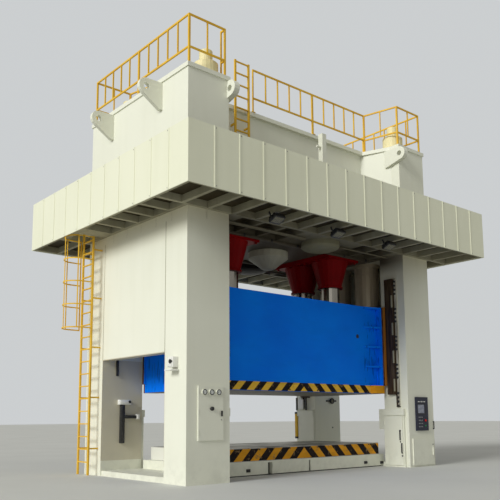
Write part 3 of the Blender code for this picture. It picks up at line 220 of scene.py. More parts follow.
def plate_paint(name, colour, shade, roughness=0.42, dirt=0.22, painted_shade=0.0, brown_painted_shade=0.0,
                shine=0.3):
    """Paint on plate: wavy, orange peel, dustier below, and painted shade under the platform."""
    finish = Finish(name, Specular_IOR_Level=shine)
    x, y, z = finish.axes()
    cloud = finish.noise(0.55, 4)
    streaks = finish.noise(1.6, 4, (2.5, 2.5, 0.18))
    patchy = cloud.ramp(0.35, 0.75) * 0.45 + streaks.ramp(0.5, 0.8) * 0.35
    low = 1 - z.ramp(0.02, 0.7)
    dust = low * finish.noise(5.0, 5).ramp(0.42, 0.7) * dirt
    painted = finish.mix(patchy, colour, shade)
    below_deck = z < DECK_LEVEL
    # Painted shade: warm and dark under the platform, in the left side opening, and high on the
    # columns' inner edges.
    if painted_shade:
        tint_share = z.ramp(4.8, 5.75)
        painted = finish.mix(tint_share * tint_share * below_deck * painted_shade, painted, (0.62, 0.56, 0.36))
        opening_shade = (abs(y - FRAME_Y) < 1.36) * (x < -3.0) * (z < 2.75) * (z > 0.35)
        painted = finish.mix(opening_shade * painted_shade, painted, (0.50, 0.43, 0.30))
        inward = 1 - (abs(x) - COLUMN_INNER).ramp(0.0, 0.95)
        inner_edge_shade = z.ramp(3.4, 5.76) * inward * below_deck
        painted = finish.mix(inner_edge_shade * painted_shade * 0.8, painted, (0.30, 0.27, 0.20))
    # Painted shade: dark brown under the crown and on the joists between the columns.
    if brown_painted_shade:
        between = (abs(x) < COLUMN_INNER + 0.01) * (1 - abs(y - FRAME_Y).ramp(1.5, 2.9))
        painted = finish.mix(z.ramp(5.3, 5.66) * between * below_deck * brown_painted_shade, painted,
                             (0.035, 0.022, 0.012))
    dusty = [channel * 0.45 for channel in shade]
    finish.surface(Base_Color=finish.mix(dust, painted, dusty),
                   Roughness=roughness + 0.14 * cloud + 0.2 * dust)
    finish.bump(finish.noise(240, 2) * 0.25 + finish.noise(1.1, 2) * 12, 0.25, 0.0012)
    return finish.material


cream_paint = plate_paint("cream_paint", (0.80, 0.81, 0.70), (0.73, 0.74, 0.62), painted_shade=0.6,
                          brown_painted_shade=0.9)
# The sheets' yellower cream is painted warm light, such as falls on the skirt's front.
sheet_paint = plate_paint("sheet_paint", (0.80, 0.81, 0.65), (0.73, 0.74, 0.57))
nut_paint = plate_paint("nut_paint", (0.84, 0.77, 0.46), (0.76, 0.67, 0.36))
housing_paint = plate_paint("housing_paint", (0.50, 0.48, 0.38), (0.32, 0.30, 0.23), 0.5, 0.0,
                            shine=0.1)
drum_paint = plate_paint("drum_paint", (0.22, 0.21, 0.14), (0.14, 0.13, 0.08), 0.5, 0.0,
                         shine=0.1)
girder_paint = plate_paint("girder_paint", (0.36, 0.34, 0.24), (0.16, 0.145, 0.09), 0.55, 0.0,
                           brown_painted_shade=0.75, shine=0.1)


def deck_sheet():
    """Chequer plate: worn grey paint above, and a dark brown painted shade below."""
    finish = Finish("deck_paint", Specular_IOR_Level=0.1)
    x, y, z = finish.axes()
    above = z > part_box("platform_deck")[1].z - 0.002
    cloud = finish.noise(0.8, 5).ramp(0.35, 0.7)
    upper = finish.mix(cloud, (0.40, 0.40, 0.34), (0.28, 0.27, 0.22))
    # The underside's dark brown is painted shade.
    shaded_underside = finish.mix(cloud, (0.060, 0.048, 0.024), (0.030, 0.023, 0.011))
    pitch = 0.06
    rising = (x + y).repeat(pitch) / pitch < 0.4
    falling = (x - y).repeat(pitch) / pitch < 0.5
    finish.surface(Base_Color=finish.mix(above, shaded_underside, upper), Roughness=0.55 + 0.1 * cloud)
    return finish.bump(rising * falling * above, 0.5, 0.003).material


deck_paint = deck_sheet()
print("plate paints:", cream_paint.name, sheet_paint.name, nut_paint.name, girder_paint.name)

# %% [markdown]
# ## The slide's blue, with its bronze shoes
#
# The slide is one casting in blue. Its guide shoes are bronze, the feet of its ears are
# orange, and its underside is bare. One material can hold all of that, because each area
# is a simple region of the object's own coordinates: a mask is a product of comparisons.

# %% Slide blue with bronze, orange and bare regions
def slide_paint():
    finish = Finish("slide_paint", Specular_IOR_Level=0.06)
    x, y, z = finish.axes()
    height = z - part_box("slide")[0].z
    from_middle = abs(y - FRAME_Y)
    on_ear = from_middle > 1.285
    shoe = (abs(x) > 2.939) * (from_middle > 1.452) | (abs(x) > 2.977) * on_ear
    edge = (abs(x) < 2.985) * (from_middle > 1.50)
    band = on_ear * (height < 0.22) * (abs(x) > 2.575)
    bare = height < 0.004
    cloud = finish.noise(0.9, 4)
    rub = finish.noise(3.5, 6).ramp(0.58, 0.72)
    grime = finish.noise(1.1, 5, (1, 1, 2.5)).ramp(0.48, 0.75)
    blue = finish.mix(cloud.ramp(0.35, 0.7), (0.0, 0.180, 0.94), (0.0, 0.220, 1.0))
    blue = finish.mix(grime * 0.30, blue, (0.0, 0.140, 0.74))
    blue = finish.mix(rub * 0.10, blue, (0.02, 0.26, 0.80))
    scratched = finish.noise(6, 6, (2.5, 2.5, 0.5)).ramp(0.56, 0.64) * (abs(x) > 2.35)
    blue = finish.mix(scratched * 0.55, blue, (0.0, 0.05, 0.26))
    worn = finish.noise(9, 4, (1, 1, 0.4)).ramp(0.4, 0.65)
    bronze = finish.mix(worn, (0.16, 0.07, 0.025), (0.05, 0.02, 0.01))
    bronze = finish.mix(edge, bronze, (0.38, 0.14, 0.02))
    warning = finish.mix(rub, (0.80, 0.36, 0.02), (0.50, 0.20, 0.02))
    colour = finish.mix(shoe, blue, bronze)
    colour = finish.mix(band, colour, warning)
    colour = finish.mix(bare, colour, (0.20, 0.18, 0.15))
    finish.surface(Base_Color=colour, Roughness=0.40 + 0.15 * cloud + 0.1 * rub,
                   Metallic=bare)
    finish.bump(finish.noise(200, 2) * 0.3 + finish.noise(1.3, 3) * 10, 0.25, 0.0012)
    return finish.material


slide_blue = slide_paint()

# %% [markdown]
# ## Warning stripes
#
# The stripes on the bolster and the slide lean towards the middle and meet there in a
# triangle. A slanted stripe is a band of constant x plus height, and taking the
# distance from the middle instead of x mirrors it. The remainder of that sum over the
# stripe's pitch gives the bands.

# %% Stripes that meet in the middle
def warning_stripes(name, node, pitch, middle, wear, orange):
    """Stripes with a triangle in the middle that reaches as far to each side as given."""
    finish = Finish(name, Specular_IOR_Level=0.08)
    x, _, z = finish.axes()
    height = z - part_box(node)[0].z
    run = abs(x) + height - middle
    black = run.repeat(pitch) / pitch < 0.5
    scuff = finish.noise(9, 6).ramp(0.58, 0.66) * wear
    rub = finish.noise(2.2, 4, (1, 1, 3)).ramp(0.4, 0.75)
    worn = [channel * 0.72 for channel in orange]
    orange = finish.mix(rub, orange, worn)
    ink = finish.mix(rub, (0.012, 0.009, 0.010), (0.028, 0.020, 0.018))
    colour = finish.mix(1 - black, ink, orange)
    colour = finish.mix(scuff, colour, (0.26, 0.17, 0.08))
    finish.surface(Base_Color=colour, Roughness=0.45 + 0.25 * rub)
    finish.bump(finish.noise(160, 2) * 0.4 + black * 0.5, 0.3, 0.0008)
    return finish.material


bolster_stripes = warning_stripes("bolster_stripes", "bolster_hazard_plate", 0.50, 0.26, 0.7,
                                  (0.76, 0.35, 0.022))
slide_stripes = warning_stripes("slide_stripes", "slide_hazard_plate", 0.44, 0.12, 0.5,
                                (0.88, 0.54, 0.06))
print("stripes:", bolster_stripes.name, slide_stripes.name)

# %% [markdown]
# ## Machined and plated metal
#
# The bolster is planed steel: fine marks run along one axis, and oil darkens it in
# patches. Its ends are painted. The rams are ground and plated, so they only need a
# faint ring pattern. The guide rails are dark with grease that runs downwards, apart
# from the strip on their outer edge.

# %% Bolster steel with painted ends
def planed_steel(name, painted_ends):
    finish = Finish(name)
    x, _, z = finish.axes()
    marks = finish.noise(42, 3, (6, 0.12, 6))
    oil = finish.noise(1.4, 6).ramp(0.42, 0.62)
    steel = finish.mix(oil, (0.46, 0.45, 0.42), (0.21, 0.20, 0.18))
    steel = finish.mix(marks.ramp(0.3, 0.8) * 0.4, steel, (0.60, 0.59, 0.56))
    metal = 1.0
    if painted_ends:
        end = (abs(x) > 2.855) * (z < 0.636)
        steel = finish.mix(end, steel, (0.76, 0.76, 0.69))
        metal = 1 - end
    finish.surface(Base_Color=steel, Roughness=0.30 + 0.18 * oil + 0.12 * marks, Metallic=metal)
    finish.bump(marks, 0.25, 0.0006)
    return finish.material


bolster_steel = planed_steel("bolster_steel", True)
machined_steel = planed_steel("machined_steel", False)
print("steel:", bolster_steel.name, machined_steel.name)

# %% Chrome, cylinder shell and guide rails
def hard_chrome():
    finish = Finish("hard_chrome", Metallic=1.0)
    tint_share = finish.noise(2.5, 4, (1, 1, 0.2)).ramp(0.45, 0.8)
    rings = finish.noise(90, 2, (0.05, 0.05, 1))
    finish.surface(Base_Color=finish.mix(tint_share, (0.36, 0.34, 0.31), (0.22, 0.20, 0.17)),
                   Roughness=0.10 + 0.10 * tint_share + 0.05 * rings)
    return finish.material


def satin_shell():
    finish = Finish("satin_shell", Specular_IOR_Level=0.4)
    cloud = finish.noise(1.8, 5, (1, 1, 0.3))
    finish.surface(Base_Color=finish.mix(cloud.ramp(0.35, 0.7), (0.42, 0.35, 0.25),
                                         (0.30, 0.24, 0.16)),
                   Roughness=0.36 + 0.2 * cloud, Metallic=0.25)
    return finish.bump(finish.noise(70, 3, (0.2, 0.2, 1)), 0.12, 0.0006).material


def greased_rail():
    """Dark grease over the rail, and bare paint on the strip that the bolts sit in."""
    finish = Finish("greased_rail", Specular_IOR_Level=0.15)
    _, y, z = finish.axes()
    strip = (abs(y - FRAME_Y) > 1.838) * (z > 1.62)
    runs = finish.noise(7, 5, (2.4, 2.4, 0.25)).ramp(0.4, 0.68)
    wiped = finish.noise(3, 4, (4, 4, 0.5)).ramp(0.55, 0.75)
    lumps = finish.noise(22, 4)
    grease = finish.mix(runs, (0.058, 0.036, 0.020), (0.014, 0.009, 0.006))
    grease = finish.mix(wiped * 0.7, grease, (0.12, 0.09, 0.055))
    stained = finish.mix(runs * 0.8, (0.50, 0.49, 0.42), (0.16, 0.13, 0.09))
    finish.surface(Base_Color=finish.mix(strip, grease, stained),
                   Roughness=0.55 - 0.22 * runs)
    return finish.bump(lumps * 0.6 + runs, 0.4, 0.002).material


ram_chrome, return_shell, rail_grease = hard_chrome(), satin_shell(), greased_rail()
print("metals:", ram_chrome.name, return_shell.name, rail_grease.name)

# %% [markdown]
# ## Gloss paints, plastic and glass
#
# The main cylinders are dark red, the rear drum near black, which is painted shade over its
# dark grey paint, and the rails and ladders safety yellow. All are sprayed gloss with small
# chips, so one function makes them.
# Plastic for knobs and handles has a fine grain, and glass covers gauges and lamps.

# %% Gloss paint with chips
def gloss_paint(name, colour, shade, chip, roughness=0.3, chips=0.6, shine=0.3):
    finish = Finish(name, Specular_IOR_Level=shine)
    cloud = finish.noise(1.5, 4)
    chipped = finish.noise(26, 5).ramp(0.67, 0.70) * chips
    painted = finish.mix(cloud.ramp(0.3, 0.7), colour, shade)
    finish.surface(Base_Color=finish.mix(chipped, painted, chip),
                   Roughness=roughness + 0.12 * cloud + 0.2 * chipped)
    return finish.bump(finish.noise(180, 2) * 0.4 - chipped, 0.3, 0.0008).material


cylinder_red = gloss_paint("cylinder_red", (0.27, 0.003, 0.004), (0.17, 0.002, 0.003),
                           (0.07, 0.01, 0.01), 0.34, 0.3, 0.05)
# The drum's near black is painted shade over its dark grey paint.
drum_black = gloss_paint("drum_black", (0.010, 0.009, 0.009), (0.018, 0.016, 0.014),
                         (0.03, 0.025, 0.02), 0.30, 0.3, 0.05)
rail_yellow = gloss_paint("rail_yellow", (0.80, 0.50, 0.05), (0.70, 0.40, 0.03),
                          (0.42, 0.26, 0.08), 0.40, 0.4, 0.2)
signal_red = gloss_paint("signal_red", (0.62, 0.015, 0.012), (0.5, 0.01, 0.01),
                         (0.3, 0, 0), 0.2, 0)
signal_green = gloss_paint("signal_green", (0.02, 0.38, 0.09), (0.015, 0.3, 0.07),
                           (0, 0.1, 0), 0.2, 0)
print("gloss paints:", cylinder_red.name, drum_black.name, rail_yellow.name)

# %% Plastic, glass and lamp lens
def grained_plastic(name, colour, pale):
    finish = Finish(name)
    wear = finish.noise(14, 4).ramp(0.5, 0.8)
    finish.surface(Base_Color=finish.mix(wear, colour, pale), Roughness=0.42 + 0.15 * wear)
    return finish.bump(finish.noise(900, 2), 0.2, 0.0003).material


def clear_glass():
    finish = Finish("clear_glass", IOR=1.45)
    smear = finish.noise(20, 4).ramp(0.4, 0.8)
    finish.surface(Base_Color=(0.85, 0.9, 0.92), Roughness=0.04 + 0.12 * smear, Alpha=0.22)
    return finish.material


def lamp_lens():
    """Rows of small square cells with a dark grid between them."""
    finish = Finish("lamp_lens", Specular_IOR_Level=0.15)
    x, y, _ = finish.axes()
    pitch = 0.022
    cells = (x.repeat(pitch) / pitch > 0.12) * (y.repeat(pitch) / pitch > 0.12)
    finish.surface(Base_Color=finish.mix(cells, (0.06, 0.06, 0.05), (0.20, 0.19, 0.14)),
                   Roughness=0.25 + 0.2 * cells)
    return finish.bump(cells, 0.5, 0.001).material


black_plastic = grained_plastic("black_plastic", (0.018, 0.018, 0.019), (0.05, 0.05, 0.05))
panel_navy = grained_plastic("panel_navy", (0.010, 0.013, 0.035), (0.020, 0.024, 0.050))
box_white = grained_plastic("box_white", (0.80, 0.80, 0.76), (0.70, 0.70, 0.64))
dial_white = grained_plastic("dial_white", (0.82, 0.82, 0.78), (0.74, 0.74, 0.69))
glass, lens = clear_glass(), lamp_lens()
print("small finishes:", black_plastic.name, dial_white.name, glass.name, lens.name)

# %% [markdown]
# ## Give each CAD node its finish
#
# The CAD nodes keep their meshes. Only the material slot changes, by name, and a node
# that belongs to a family is found by the start of its name.

# %% Finish by node name
NODE_FINISH = {
    "bolster_hazard_plate": bolster_stripes,
    "slide_hazard_plate": slide_stripes,
    "bolster": bolster_steel,
    "slide": slide_blue,
    "tie_rod": nut_paint,
    "platform_frame": girder_paint,
    "platform_deck": deck_paint,
    "skirt": sheet_paint,
    "oil_drum": drum_paint,
    "rear_drum": drum_black,
    "centre_housing": housing_paint,
    "guard_rail": rail_yellow,
    "crown_ladder": rail_yellow,
    "cat_ladder": rail_yellow,
    "ladder_cage": rail_yellow,
    "main_cylinder": cylinder_red,
    "main_ram": ram_chrome,
    "return_rod": ram_chrome,
    "return_cylinder": return_shell,
    "guide_rail": rail_grease,
    "valve_knob": black_plastic,
    "door_latch": black_plastic,
    "control_panel": panel_navy,
    "emergency_stop": signal_red,
    "start_button": signal_green,
}
for node_name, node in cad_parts.items():
    chosen = next((finish for start, finish in NODE_FINISH.items()
                   if node_name.startswith(start)), cream_paint)
    node.data.materials.clear()
    node.data.materials.append(chosen)
    node.data.shade_smooth()
print("finished nodes:", len(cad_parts))

# %% [markdown]
# ## Helpers for modelling by operators
#
# Operators act on what is selected, so each new piece starts from an empty selection.
# Faces are chosen in code by their direction. A finished piece has its place in its
# mesh and its object at the origin, like a CAD node.

# %% Start, edit and soften a piece
def deselect_all():
    bpy.ops.object.select_all(action="DESELECT")


def begin(name):
    """Name the primitive that was just added and return it."""
    piece = bpy.context.active_object
    piece.name = name
    return piece


def block(name, size, place=(0, 0, 0)):
    """A box that holds its size and its place in its mesh."""
    deselect_all()
    bpy.ops.mesh.primitive_cube_add(size=1, location=place)
    made = begin(name)
    made.scale = size
    bpy.ops.object.transform_apply(location=True, scale=True)
    return made


def rod(name, sides, radius, length):
    """An upright cylinder round the origin."""
    deselect_all()
    bpy.ops.mesh.primitive_cylinder_add(vertices=sides, radius=radius, depth=length)
    return begin(name)


def pick_faces(piece, chosen):
    """In edit mode, select the faces whose centre and normal pass a test."""
    bpy.context.tool_settings.mesh_select_mode = (False, False, True)
    bpy.ops.mesh.select_all(action="DESELECT")
    bpy.ops.object.mode_set(mode="OBJECT")
    for face in piece.data.polygons:
        face.select = chosen(face.center, face.normal)
    bpy.ops.object.mode_set(mode="EDIT")


def edit_top(piece, *steps):
    """Run a list of inset and extrude steps on the face that looks along +Z."""
    bpy.ops.object.mode_set(mode="EDIT")
    pick_faces(piece, lambda centre, normal: normal.z > 0.9)
    for kind, amount in steps:
        if kind == "inset":
            bpy.ops.mesh.inset(thickness=amount)
        else:
            bpy.ops.mesh.extrude_region_move(TRANSFORM_OT_translate={"value": (0, 0, amount)})
    bpy.ops.object.mode_set(mode="OBJECT")


def soften(piece, width, segments=2):
    """Bevel the sharp edges with a modifier, apply it and return the piece."""
    bevel = piece.modifiers.new("Soft", "BEVEL")
    bevel.width, bevel.segments = width, segments
    bpy.context.view_layer.objects.active = piece
    bpy.ops.object.modifier_apply(modifier=bevel.name)
    return piece


def join_pieces(pieces):
    """Join pieces into the first one."""
    deselect_all()
    for piece in pieces:
        piece.select_set(True)
    bpy.context.view_layer.objects.active = pieces[0]
    if len(pieces) > 1:
        bpy.ops.object.join()
    return pieces[0]


# %% Copy, finish and place a piece
def repeat_piece(master, name, matrices, finish, body="frame"):
    """Copy a master to each place, and join, smooth and paint what rides on a body."""
    copies = []
    for matrix in matrices:
        copy = bpy.data.objects.new(name, master.data.copy())
        copy.data.transform(matrix)
        bpy.context.scene.collection.objects.link(copy)
        copies.append(copy)
    bpy.data.objects.remove(master)
    piece = join_pieces(copies)
    bpy.ops.object.shade_smooth_by_angle(angle=math.radians(35))
    piece.data.materials.clear()
    piece.data.materials.append(finish)
    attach(piece, body)


def facing(point, normal, spin=0.0):
    """A matrix that puts a piece made along +Z at a point, looking along a normal.

    A piece that looks up also makes half a turn, which faces the gussets inwards. Lamps
    and hinges are only moved, by Matrix.Translation.
    """
    turn = Vector(normal).to_track_quat("Z", "Y").to_matrix().to_4x4()
    return Matrix.Translation(point) @ turn @ Matrix.Rotation(spin, 4, "Z")


def placed(x, y, z, normal=(0, 0, 1), spin=0.0):
    """Like facing, with the place given from the middle of the press's frame."""
    return facing((x, y + FRAME_Y, z), normal, spin)


# %% Forms that return in many fittings
def cover_box(name, size, rim):
    """A soft edged box with a raised lid on the side that looks along +Z."""
    made = block(name, size)
    lift = min(size) * 0.12
    edit_top(made, ("inset", rim), ("extrude", lift),
             ("inset", rim * 0.4), ("extrude", lift * 0.3))
    return soften(made, min(size) * 0.12)


def disc(name, radius, depth, rim):
    """A low round piece with a raised middle."""
    made = rod(name, 32, radius, depth)
    edit_top(made, ("inset", rim), ("extrude", depth * 0.2))
    return made


def bar(name, size, place=(0, 0, 0)):
    """A thin box with a raised middle."""
    made = block(name, size, place)
    edit_top(made, ("inset", min(size) * 0.2), ("extrude", min(size) * 0.2))
    return made


def bolt_head(name, radius, height):
    """A washer with a chamfered head on it, pulled out of one cylinder."""
    head = rod(name, 12, radius * 1.3, height * 0.3)
    edit_top(head, ("inset", radius * 0.3), ("extrude", height * 0.6),
             ("inset", radius * 0.16), ("extrude", height * 0.12))
    return head


def ring_piece(name, radius, thickness, flatness):
    """A torus that is squashed or stretched along its axis."""
    deselect_all()
    bpy.ops.mesh.primitive_torus_add(major_radius=radius, minor_radius=thickness,
                                     major_segments=40, minor_segments=8)
    made = begin(name)
    made.scale = (1, 1, flatness)
    bpy.ops.object.transform_apply(scale=True)
    return made


def fit(master, spot, normal, finish=black_plastic, body="frame"):
    """One piece, named like its master, at a place given from the middle of the frame."""
    repeat_piece(master, master.name, [placed(*spot, normal)], finish, body)


print("modelling helpers are ready")

# %% [markdown]
# ## Bolts
#
# Bolts hold the guide rails and the cylinders. A head is a low cylinder whose top is
# inset and pulled up, and then inset again for the chamfer. One head is made and copied,
# because a copy costs nothing to model. On the guide rails the bolts sit in groups of
# four, with a dull cover between the groups.

# %% Bolts and covers on the guide rails
RAIL_FACE, STRIP_Y = 3.0397, 1.866
TOP_BOLT, GROUP_STEP, BOLT_STEP = 5.064, 0.772, 0.115
rail_bolts = [placed(side_x * RAIL_FACE, side_y * STRIP_Y,
                     TOP_BOLT - GROUP_STEP * group - BOLT_STEP * step, (-side_x, 0, 0))
              for group in range(5) for step in range(4) for side_x, side_y in CORNERS]
repeat_piece(bolt_head("rail_bolt", 0.025, 0.060), "guide_rail_bolts", rail_bolts,
             black_plastic)
rail_covers = [placed(side_x * 2.972, side_y * 1.80, 4.51 - GROUP_STEP * group, (-side_x, 0, 0))
               for group in range(4) for side_x, side_y in CORNERS]
repeat_piece(cover_box("rail_cover", (0.05, 0.34, 0.012), 0.008), "guide_rail_covers",
             rail_covers, girder_paint)
print("guide rail bolts:", len(rail_bolts), "covers:", len(rail_covers))

# %% Bolts round the cylinders
MAIN_X, MAIN_Y, FLANGE_LOW = 1.85, 0.54, 5.65
flange_bolts = [placed(side_x * (MAIN_X + 0.53 * x), side_y * (MAIN_Y + 0.47 * y), FLANGE_LOW,
                       DOWN)
                for x in SIDES for y in (-1, 0, 1) for side_x, side_y in CORNERS]
repeat_piece(bolt_head("flange_bolt", 0.032, 0.045), "cylinder_flange_bolts", flange_bolts,
             cylinder_red)

return_axes = []
for name in ("front_left", "front_right", "rear_left", "rear_right"):
    return_low, return_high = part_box("return_cylinder_" + name)
    return_axes.append((return_low + return_high) / 2)
CIRCLE_RADIUS, CIRCLE_BOLTS = 0.378, 12
return_bolts = []
for axis in return_axes:
    for step in range(CIRCLE_BOLTS):
        angle = 2 * math.pi * step / CIRCLE_BOLTS
        return_bolts.append(facing((axis.x + CIRCLE_RADIUS * math.cos(angle),
                                    axis.y + CIRCLE_RADIUS * math.sin(angle),
                                    return_high.z - 0.09), DOWN))
repeat_piece(bolt_head("return_bolt", 0.013, 0.03), "return_cylinder_bolts", return_bolts,
             return_shell)
print("cylinder bolts:", len(flange_bolts), len(return_bolts))

# %% [markdown]
# ## Rings on the return cylinders
#
# Each grey cylinder has a bright gland ring below and a raised band near its top. A
# ring is a torus that is scaled along its axis, which is quicker than spinning a
# profile.

# %% Gland rings and bands
for master, name, level, finish in (
        (ring_piece("band", 0.355, 0.010, 1.8), "return_cylinder_bands", 5.46, return_shell),
        (ring_piece("gland", 0.352, 0.022, 1.3), "return_cylinder_glands", return_low.z + 0.03,
         machined_steel)):
    repeat_piece(master, name, [Matrix.Translation((axis.x, axis.y, level))
                                for axis in return_axes], finish)
print("rings on", len(return_axes), "cylinders")

# %% [markdown]
# ## Floodlights under the platform
#
# Small square floodlights hang under the platform's front edge. Each has a finned
# housing, a window and two bracket arms. The housing is a box whose back is inset and
# pulled out, and the fins are thin boxes that are set across it.

# %% One floodlight, copied along the front
def floodlight():
    body = block("flood_body", (0.30, 0.24, 0.07))
    edit_top(body, ("inset", 0.03), ("extrude", 0.025), ("inset", 0.02), ("extrude", 0.012))
    parts = [soften(body, 0.006)]
    for step in range(7):
        fin = block("flood_fin", (0.008, 0.20, 0.05), (-0.12 + 0.04 * step, 0, 0.06))
        edit_top(fin, ("inset", 0.002), ("extrude", 0.004))
        parts.append(fin)
    for side in SIDES:
        arm = block("flood_arm", (0.012, 0.04, 0.20), (side * 0.165, 0, 0.07))
        parts.append(soften(arm, 0.003))
    return join_pieces(parts)


lamp_tilt = Matrix.Rotation(math.radians(-25), 4, "X")
lamp_places = [Matrix.Translation((x, FRAME_Y - 2.97, 5.615)) @ lamp_tilt
               for x in (-2.40, -0.45, 1.45)]
repeat_piece(floodlight(), "floodlights", lamp_places, black_plastic)
window = block("lamp_window", (0.25, 0.19, 0.006), (0, 0, -0.037))
repeat_piece(soften(window, 0.002), "floodlight_windows", lamp_places, lens)
print("floodlights:", len(lamp_places))

# %% [markdown]
# ## Gauges
#
# Each gauge is a shallow cup in the CAD door. It gets a white dial with tick marks, a
# needle, a glass and a black bezel. Ticks are thin boxes set in a circle, because real
# ticks are printed lines and a box under a millimetre high reads the same from any
# distance.

# %% Dials, ticks, needles, glasses and bezels
GAUGE_X = [-3.595 + step * 0.185 for step in (-1, 0, 1)]
DIAL_LEVEL, TICK_RADIUS = 1.87, 0.038
gauge_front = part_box("gauge_door")[0].y


def on_gauges(depth, spin=0.0):
    """A place on each gauge, set back behind the door's front face."""
    return [facing((x, gauge_front + depth, DIAL_LEVEL), FRONT, spin) for x in GAUGE_X]


tick_places = []
for x in GAUGE_X:
    for angle in [math.radians(225 - 27 * step) for step in range(11)]:
        spot = (x + TICK_RADIUS * math.cos(angle), gauge_front + 0.0068,
                DIAL_LEVEL + TICK_RADIUS * math.sin(angle))
        tick_places.append(facing(spot, FRONT, angle))
for master, name, places, finish in (
        (disc("dial", 0.049, 0.002, 0.004), "gauge_dials", on_gauges(0.0085), dial_white),
        (bar("tick", (0.012, 0.0022, 0.0008)), "gauge_ticks", tick_places, black_plastic),
        (bar("needle", (0.034, 0.003, 0.001), (0.013, 0, 0)), "gauge_needles",
         on_gauges(0.0060, math.radians(215)), black_plastic),
        (disc("gauge_glass", 0.0495, 0.002, 0.006), "gauge_glasses", on_gauges(0.0025), glass),
        (ring_piece("gauge_bezel", 0.053, 0.007, 1.1), "gauge_bezels", on_gauges(-0.001),
         black_plastic)):
    repeat_piece(master, name, places, finish, "gauge_door")
print("gauges at x =", [round(x, 3) for x in GAUGE_X])

# %% [markdown]
# ## Control panel
#
# The panel is a dark plate with two buttons, which are CAD nodes that move. Everything
# else is fixed: a grey screen in its recess with a black rim, key caps below it and a
# row of pale lamps above it.

# %% Screen, rim, caps and lamps
SCREEN_X, SCREEN_Z = 3.575, 1.545
panel_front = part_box("control_panel")[0].y


def on_panel(x, z, depth=0.0):
    """A place on the panel, set back behind its front face."""
    return facing((x, panel_front + depth, z), FRONT)


screen_grey = grained_plastic("screen_grey", (0.26, 0.28, 0.36), (0.46, 0.48, 0.54))
cap_grey = gloss_paint("cap_grey", (0.30, 0.31, 0.32), (0.22, 0.23, 0.24), (0.1, 0.1, 0.1),
                       0.25, 0)
key_caps = [on_panel(3.47 + 0.065 * column, 1.32 - 0.085 * row)
            for column in range(3) for row in range(4)]
lamp_caps = [on_panel(3.46 + 0.07 * column, 1.74) for column in range(5)]
repeat_piece(bar("panel_screen", (0.33, 0.25, 0.006)), "panel_screen",
             [on_panel(SCREEN_X, SCREEN_Z, 0.008)], screen_grey)
repeat_piece(disc("cap", 0.017, 0.016, 0.004), "panel_caps", key_caps, cap_grey)
repeat_piece(disc("lamp_cap", 0.014, 0.018, 0.003), "panel_lamps", lamp_caps, box_white)
for number, (across, along, wide, tall) in enumerate(
        ((0, 0.135, 0.37, 0.016), (0, -0.135, 0.37, 0.016),
         (-0.177, 0, 0.016, 0.254), (0.177, 0, 0.016, 0.254))):
    spot = on_panel(SCREEN_X, SCREEN_Z, -0.001) @ Matrix.Translation((across, along, 0))
    repeat_piece(bar("screen_rim", (wide, tall, 0.008)), "screen_rim_" + str(number), [spot],
                 black_plastic)
print("panel caps:", len(key_caps) + len(lamp_caps))

# %% [markdown]
# ## Handles, hinges and locks on the doors
#
# A lift-off hinge is a short barrel on the door's hinge edge, and a pull handle is a
# bar on two feet. Both ride on the door, so that they swing with it.

# %% Handle and hinge
def pull_handle(length):
    """A bar with two feet, pulled out of the ends of one box."""
    foot, foot_height = 0.03, 0.022
    handle = block("pull_handle", (0.030, length, 0.016))
    bpy.ops.object.mode_set(mode="EDIT")
    for side in (1, -1):
        bpy.ops.mesh.select_all(action="SELECT")
        bpy.ops.mesh.bisect(plane_co=(0, side * (length / 2 - foot), 0), plane_no=(0, 1, 0))
    pick_faces(handle, lambda centre, normal: (normal.z < -0.9
                                               and abs(centre.y) > length / 2 - foot))
    bpy.ops.mesh.extrude_region_move(TRANSFORM_OT_translate={"value": (0, 0, -foot_height)})
    bpy.ops.object.mode_set(mode="OBJECT")
    handle.data.transform(Matrix.Translation((0, 0, 0.028)))
    return soften(handle, 0.003)


def hinge_barrel():
    """A slim barrel with a waist between its two halves."""
    barrel = rod("hinge_barrel", 12, 0.011, 0.05)
    edit_top(barrel, ("inset", 0.003), ("extrude", 0.004), ("inset", -0.003),
             ("extrude", 0.046), ("inset", 0.003), ("extrude", 0.004))
    return barrel


print("handle and hinge are ready")

# %% Door hardware
LOW_DOOR_X, COLUMN_FACE = 2.9877, -2.1803
HINGES = {
    "low_door_left": ((-LOW_DOOR_X, -1.392), (0.25, 0.70, 1.15)),
    "low_door_right": ((LOW_DOOR_X, -1.392), (0.25, 0.70, 1.15)),
    "gauge_door": ((-3.92, COLUMN_FACE), (1.02, 1.44, 1.86)),
    "column_door": ((3.20, COLUMN_FACE), (0.15, 0.40, 0.65)),
}
for name, ((x, y), levels) in HINGES.items():
    repeat_piece(hinge_barrel(), name + "_hinges",
                 [Matrix.Translation((x, y + FRAME_Y, level)) for level in levels],
                 cream_paint, name)

for name, side in (("low_door_left", -1), ("low_door_right", 1)):
    door_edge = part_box(name)[0].y
    for master, kind, levels in (
            (pull_handle(0.27), "_handles", (0.50, 0.85)),
            (disc("lock", 0.022, 0.016, 0.006), "_locks", (0.30, 0.67))):
        spots = [facing((side * LOW_DOOR_X, door_edge + inward, level), (-side, 0, 0))
                 for inward, level in zip((0.030, 0.075), levels)]
        repeat_piece(master, name + kind, spots, black_plastic, name)

repeat_piece(disc("lock", 0.014, 0.012, 0.004), "gauge_door_lock",
             [placed(-3.325, COLUMN_FACE, 1.30, FRONT)], machined_steel, "gauge_door")
repeat_piece(disc("lock", 0.016, 0.012, 0.004), "column_door_lock",
             [placed(4.075, COLUMN_FACE, 0.58, FRONT)], black_plastic, "column_door")
repeat_piece(pull_handle(0.22), "column_handle", [placed(4.165, -2.15, 1.10, FRONT)],
             black_plastic)
print("hinges, handles and locks on", len(HINGES), "doors")
